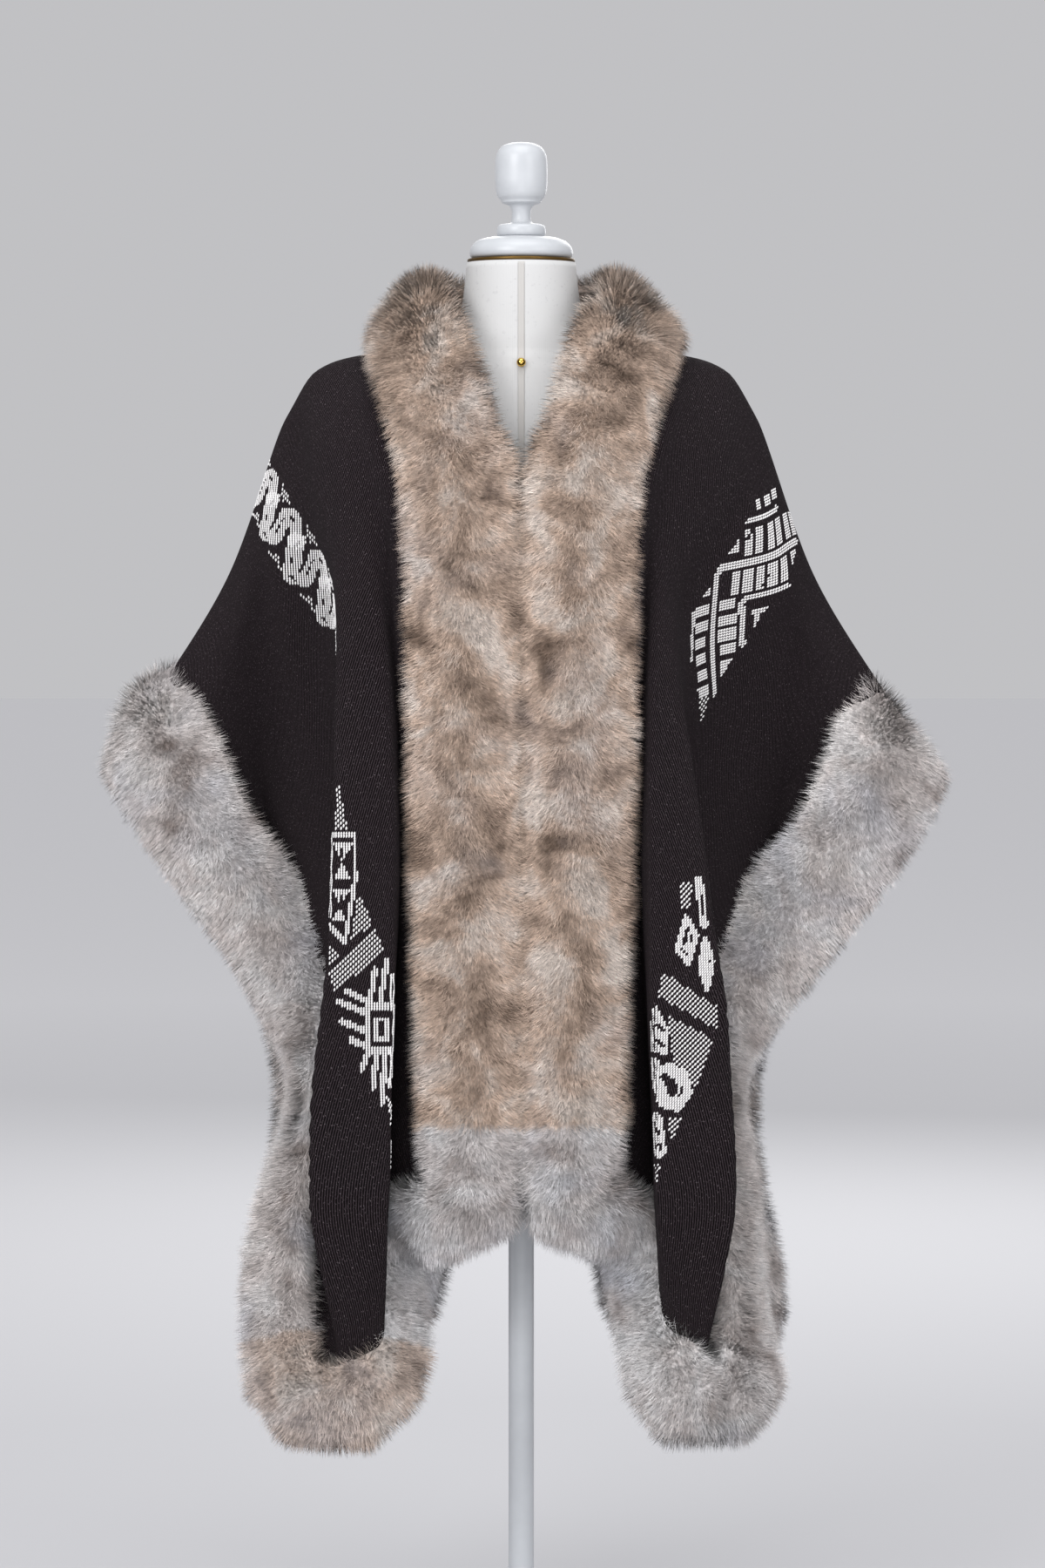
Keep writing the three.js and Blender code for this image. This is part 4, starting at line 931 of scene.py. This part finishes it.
def pile_tree():
    """Geometry Nodes: fine pointed hairs spread over a skin, leaning the way it is combed."""
    sizes = ("Density", "Hair Length", "Hair Width", "Stand", "Swirl", "Swirl Scale", "Jitter")
    tree, given = new_tree("fur pile", [*((size, "Float") for size in sizes), ("Seed", "Int")])

    # the hair: one long thin triangle that stands along its own Z, wide at the root
    blade = node(tree, "GeometryNodeMeshCircle", {"Vertices": 3}, fill_type="NGON")
    corner = node(tree, "GeometryNodeInputIndex")
    rise, left = (
        node(tree, "FunctionNodeCompare", {2: corner, 3: number}, data_type="INT", operation="EQUAL")
        for number in (0, 1))
    marked = node(tree, "GeometryNodeStoreNamedAttribute", {
        "Geometry": blade, "Name": "rise", "Value": rise}, data_type="FLOAT", domain="POINT")
    edge = node(tree, "ShaderNodeMapRange", {"Value": left, "To Min": -0.5, "To Max": 0.5})
    root = node(tree, "ShaderNodeMath", {0: 1.0, 1: rise}, operation="SUBTRACT")
    spread_root = node(tree, "ShaderNodeMath", {0: edge, 1: root}, operation="MULTIPLY")
    place = node(tree, "ShaderNodeCombineXYZ", {
        axis: node(tree, "ShaderNodeMath", {0: part, 1: given[size]}, operation="MULTIPLY")
        for axis, part, size in (("X", spread_root, "Hair Width"), ("Z", rise, "Hair Length"))})
    hair = node(tree, "GeometryNodeSetPosition", {"Geometry": marked, "Position": place})

    # where the hairs stand
    fullness = node(tree, "GeometryNodeInputNamedAttribute", {"Name": "fullness"}, data_type="FLOAT")
    spread = node(tree, "GeometryNodeDistributePointsOnFaces", {
        "Mesh": given["Geometry"], "Seed": given["Seed"],
        "Density": node(tree, "ShaderNodeMath", {0: given["Density"], 1: fullness}, operation="MULTIPLY"),
    }, distribute_method="RANDOM")
    outwards = spread.outputs["Normal"]
    skin = node(tree, "GeometryNodeStoreNamedAttribute", {
        "Geometry": spread, "Name": "skin", "Value": outwards}, data_type="FLOAT_VECTOR", domain="POINT")

    # which way they lean: along the comb, off the skin, in soft eddies, and each a little astray;
    # the eddies are about 33 mm across
    eddy = node(tree, "ShaderNodeTexNoise", {"Scale": given["Swirl Scale"], "Detail": 3.0, "Roughness": 0.6})
    swirl = node(tree, "ShaderNodeVectorMath", {
        0: eddy.outputs["Color"], 1: (0.5, 0.5, 0.5)}, operation="SUBTRACT")
    stray = node(tree, "FunctionNodeRandomValue", {
        "Min": (-1.0, -1.0, -1.0), "Max": (1.0, 1.0, 1.0), "Seed": given["Seed"],
    }, data_type="FLOAT_VECTOR")
    lean = node(tree, "GeometryNodeInputNamedAttribute", {"Name": "comb"}, data_type="FLOAT_VECTOR")
    for part, size in ((outwards, "Stand"), (swirl, "Swirl"), (stray, "Jitter")):
        pull = node(tree, "ShaderNodeVectorMath", {0: part, "Scale": given[size]}, operation="SCALE")
        lean = node(tree, "ShaderNodeVectorMath", {0: lean, 1: pull}, operation="ADD")
    upright = node(tree, "FunctionNodeAlignRotationToVector", {"Vector": lean}, axis="Z")
    facing = node(tree, "FunctionNodeAlignRotationToVector", {
        "Rotation": upright, "Vector": outwards}, axis="Y", pivot_axis="Z")

    # each hair has its own height and its own tint
    height = node(tree, "FunctionNodeRandomValue", {2: 0.6, 3: 1.1, "Seed": given["Seed"]}, data_type="FLOAT")
    planted = node(tree, "GeometryNodeInstanceOnPoints", {
        "Points": skin, "Instance": hair, "Rotation": facing,
        "Scale": node(tree, "ShaderNodeCombineXYZ", {"X": 1.0, "Y": 1.0, "Z": height}),
    })
    shade = node(tree, "FunctionNodeRandomValue", {2: 0.0, 3: 1.0, "Seed": TINT_SEED}, data_type="FLOAT")
    return end_tree(tree, given, node(tree, "GeometryNodeStoreNamedAttribute", {
        "Geometry": planted, "Name": "tint", "Value": shade}, data_type="FLOAT", domain="INSTANCE"))


# Alpaca fur: dull soft fibre, darker at the root and paler at the tip, in drifts of taupe, beige
# and blue-grey. The hairs are drawn 0.7 mm wide at the root, far thicker than real ones, so that
# they show.
def fur_finish(name, on_hair):
    """The fur's colour from its stretch, from soft drifts, and on a hair from its own height."""
    tree, shader, made = material(name)
    place = node(tree, "ShaderNodeTexCoord").outputs["Object"]
    grey = node(tree, "ShaderNodeAttribute", attribute_name="grey").outputs["Fac"]
    # drifts about 50 mm long, patches of 125 mm, tufts of 16 mm and locks of 6 mm
    drift, patch, tuft, lock = (
        node(tree, "ShaderNodeTexNoise", {
            "Vector": place, "Scale": scale, "Detail": detail, "Roughness": rough, "Distortion": bent})
        for scale, detail, rough, bent in (
            (19, 4, 0.55, 0.4), (8, 3, 0.5, 0.6), (62, 3, 0.6, 0), (170, 2, 0.6, 0)))
    zones = []
    for stops in (((0.33, "#8c7768"), (0.49, "#e6cab6"), (0.63, "#feeee2")),
                  ((0.30, "#b5a8a3"), (0.42, "#eee7e6"), (0.60, "#fefcfd"))):
        zones.append(node(tree, "ShaderNodeValToRGB", {"Fac": drift}))
        ramp = zones[-1].color_ramp.elements
        ramp.remove(ramp[1])
        for number, (at, colour) in enumerate(stops):
            stop = ramp.new(at) if number else ramp[0]
            stop.position = at
            stop.color = linear(colour)
    zoned = node(tree, "ShaderNodeMix", {"Factor": grey, "A": zones[0], "B": zones[1]}, data_type="RGBA")
    cool = node(tree, "ShaderNodeMapRange", {
        "Value": patch, "From Min": 0.52, "From Max": 0.70, "To Max": 0.75})
    cold = node(tree, "ShaderNodeMapRange", {"Value": grey, "To Min": 0.25, "To Max": 1.0})
    cooled = node(tree, "ShaderNodeMix", {
        "Factor": node(tree, "ShaderNodeMath", {0: cool, 1: cold}, operation="MULTIPLY"),
        "A": zoned, "B": linear("#d8dae4")}, data_type="RGBA")
    # how light it is: by tuft and lock, and by the hair's own height and tint, or by the skin's grain
    levels = [
        node(tree, "ShaderNodeMapRange", {
            "Value": tuft, "From Min": 0.32, "From Max": 0.68, "To Min": 0.82, "To Max": 1.1}),
        node(tree, "ShaderNodeMapRange", {
            "Value": lock, "From Min": 0.35, "From Max": 0.65, "To Min": 0.72, "To Max": 1.2}),
    ]
    if on_hair:
        for trait, low, high in (("rise", 0.86, 1.16), ("tint", 0.74, 1.18)):
            value = node(tree, "ShaderNodeAttribute", attribute_name=trait).outputs["Fac"]
            levels.append(node(tree, "ShaderNodeMapRange", {"Value": value, "To Min": low, "To Max": high}))
        skin = node(tree, "ShaderNodeAttribute", attribute_name="skin").outputs["Vector"]
        wire(tree, shader, {"Normal": skin})
    else:
        grain = node(tree, "ShaderNodeTexNoise", {"Vector": place, "Scale": 320, "Detail": 3})
        levels.append(node(tree, "ShaderNodeMapRange", {"Value": grain, "To Min": 0.62, "To Max": 1.04}))
    level = levels[0]
    for other in levels[1:]:
        level = node(tree, "ShaderNodeMath", {0: level, 1: other}, operation="MULTIPLY")
    wire(tree, shader, {
        "Roughness": 0.9, "Specular IOR Level": 0.25, "Sheen Weight": 0.32, "Sheen Roughness": 0.45,
        "Base Color": node(tree, "ShaderNodeHueSaturation", {"Color": cooled, "Value": level}),
    })
    return made


PILE_TREE = pile_tree()
pile_finish = fur_finish("alpaca pile", True)
skin_finish = fur_finish("alpaca skin", False)
trim_pieces = {}
for side_name, side, front in SIDES:
    names = fur_nodes(side_name)
    skin = skin_form(side_name, side)
    points = np.empty(len(skin.vertices) * 3)
    skin.vertices.foreach_get("co", points)
    points = points.reshape(-1, 3)
    normals = np.array([v.normal for v in skin.vertices])
    apex = np.array(SHOULDER[-1]) * (side, 1, 1) * MM
    near_apex = np.exp(-(np.linalg.norm(points - apex, axis=1) / APEX_REACH) ** 2)
    points += normals * (APEX_SWELL * near_apex)[:, None]
    for place, reach, shift in SHIFTS[side_name]:
        held = np.exp(-(((points / MM - place) / reach) ** 2).sum(1))
        points += held[:, None] * np.array(shift) * MM
    # below the throat the inner flanks of the two front strips lean together until they meet
    inner = side * points[:, 0]
    flank = np.clip(-side * normals[:, 0], 0, 1) * (points[:, 1] < 0)
    flank *= np.clip((MEET_WITHIN - inner) / MEET_EDGE, 0, 1)
    flank *= np.clip((MEET_FROM - points[:, 2]) / MEET_START, 0, 1)
    met = np.maximum(inner - MEET_SHIFT * flank, np.minimum(inner, MEET_GAP))
    points[:, 0] = side * np.where(flank > 0, met, inner)
    skin.vertices.foreach_set("co", points.ravel())
    skin.update()
    # the pile is combed away from the line that runs along the middle of the trim, and downwards
    line = trim_line(front, side)
    index = KDTree(len(line))
    for number, point in enumerate(line):
        index.insert(point, number)
    index.balance()
    nearest = np.array([index.find(p)[1] for p in points])
    tangent = np.gradient(line, axis=0)
    tangent /= np.linalg.norm(tangent, axis=1, keepdims=True) + TINY
    radial = points - line[nearest]
    radial -= tangent[nearest] * (radial * tangent[nearest]).sum(1, keepdims=True)
    comb = radial / COMB_REACH + np.array([0, 0, -COMB_DOWN])
    comb -= normals * (comb * normals).sum(1, keepdims=True)
    stretch = stretch_of(points, names)
    greys = {**GREY, "corner_front": CORNER_GREY[side_name]}
    grey = np.array([greys[name] for name in names], float)[stretch]
    inwards = -(normals * points * (1, 1, 0)).sum(1) / (np.linalg.norm(points[:, :2], axis=1) + TINY)
    outer = np.where(normals[:, 1] < FACES_FRONT, FULL_FRONT, FULL_ELSEWHERE)
    fullness = np.where(inwards > FACES_IN, FULL_INSIDE, outer)
    skin.attributes.new("comb", "FLOAT_VECTOR", "POINT").data.foreach_set("vector", comb.ravel())
    for name, values in (("grey", grey), ("fullness", fullness)):
        skin.attributes.new(name, "FLOAT", "POINT").data.foreach_set("value", values)
    skin.shade_smooth()
    pelt = bpy.data.objects.new(f"fur_skin_{side_name}", skin)
    skin.materials.append(skin_finish)
    bpy.context.scene.collection.objects.link(pelt)
    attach(pelt, "root")
    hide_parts(*names.values())
    trim_pieces[side_name] = [pelt]
    for number, (group, members) in enumerate(PILE_GROUPS.items()):
        part = skin.copy()
        chosen = fullness * np.isin(stretch, [i for i, name in enumerate(names) if name in members])
        part.attributes["fullness"].data.foreach_set("value", chosen)
        pile = grown(f"fur_pile_{group}_{side_name}", part, PILE_TREE, {
            **PILE, "Seed": FIRST_SEED + number, "Material": pile_finish})
        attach(pile, "root")
        trim_pieces[side_name].append(pile)

size = {"cad": cad_box, "visual": [list(corner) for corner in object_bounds()]}
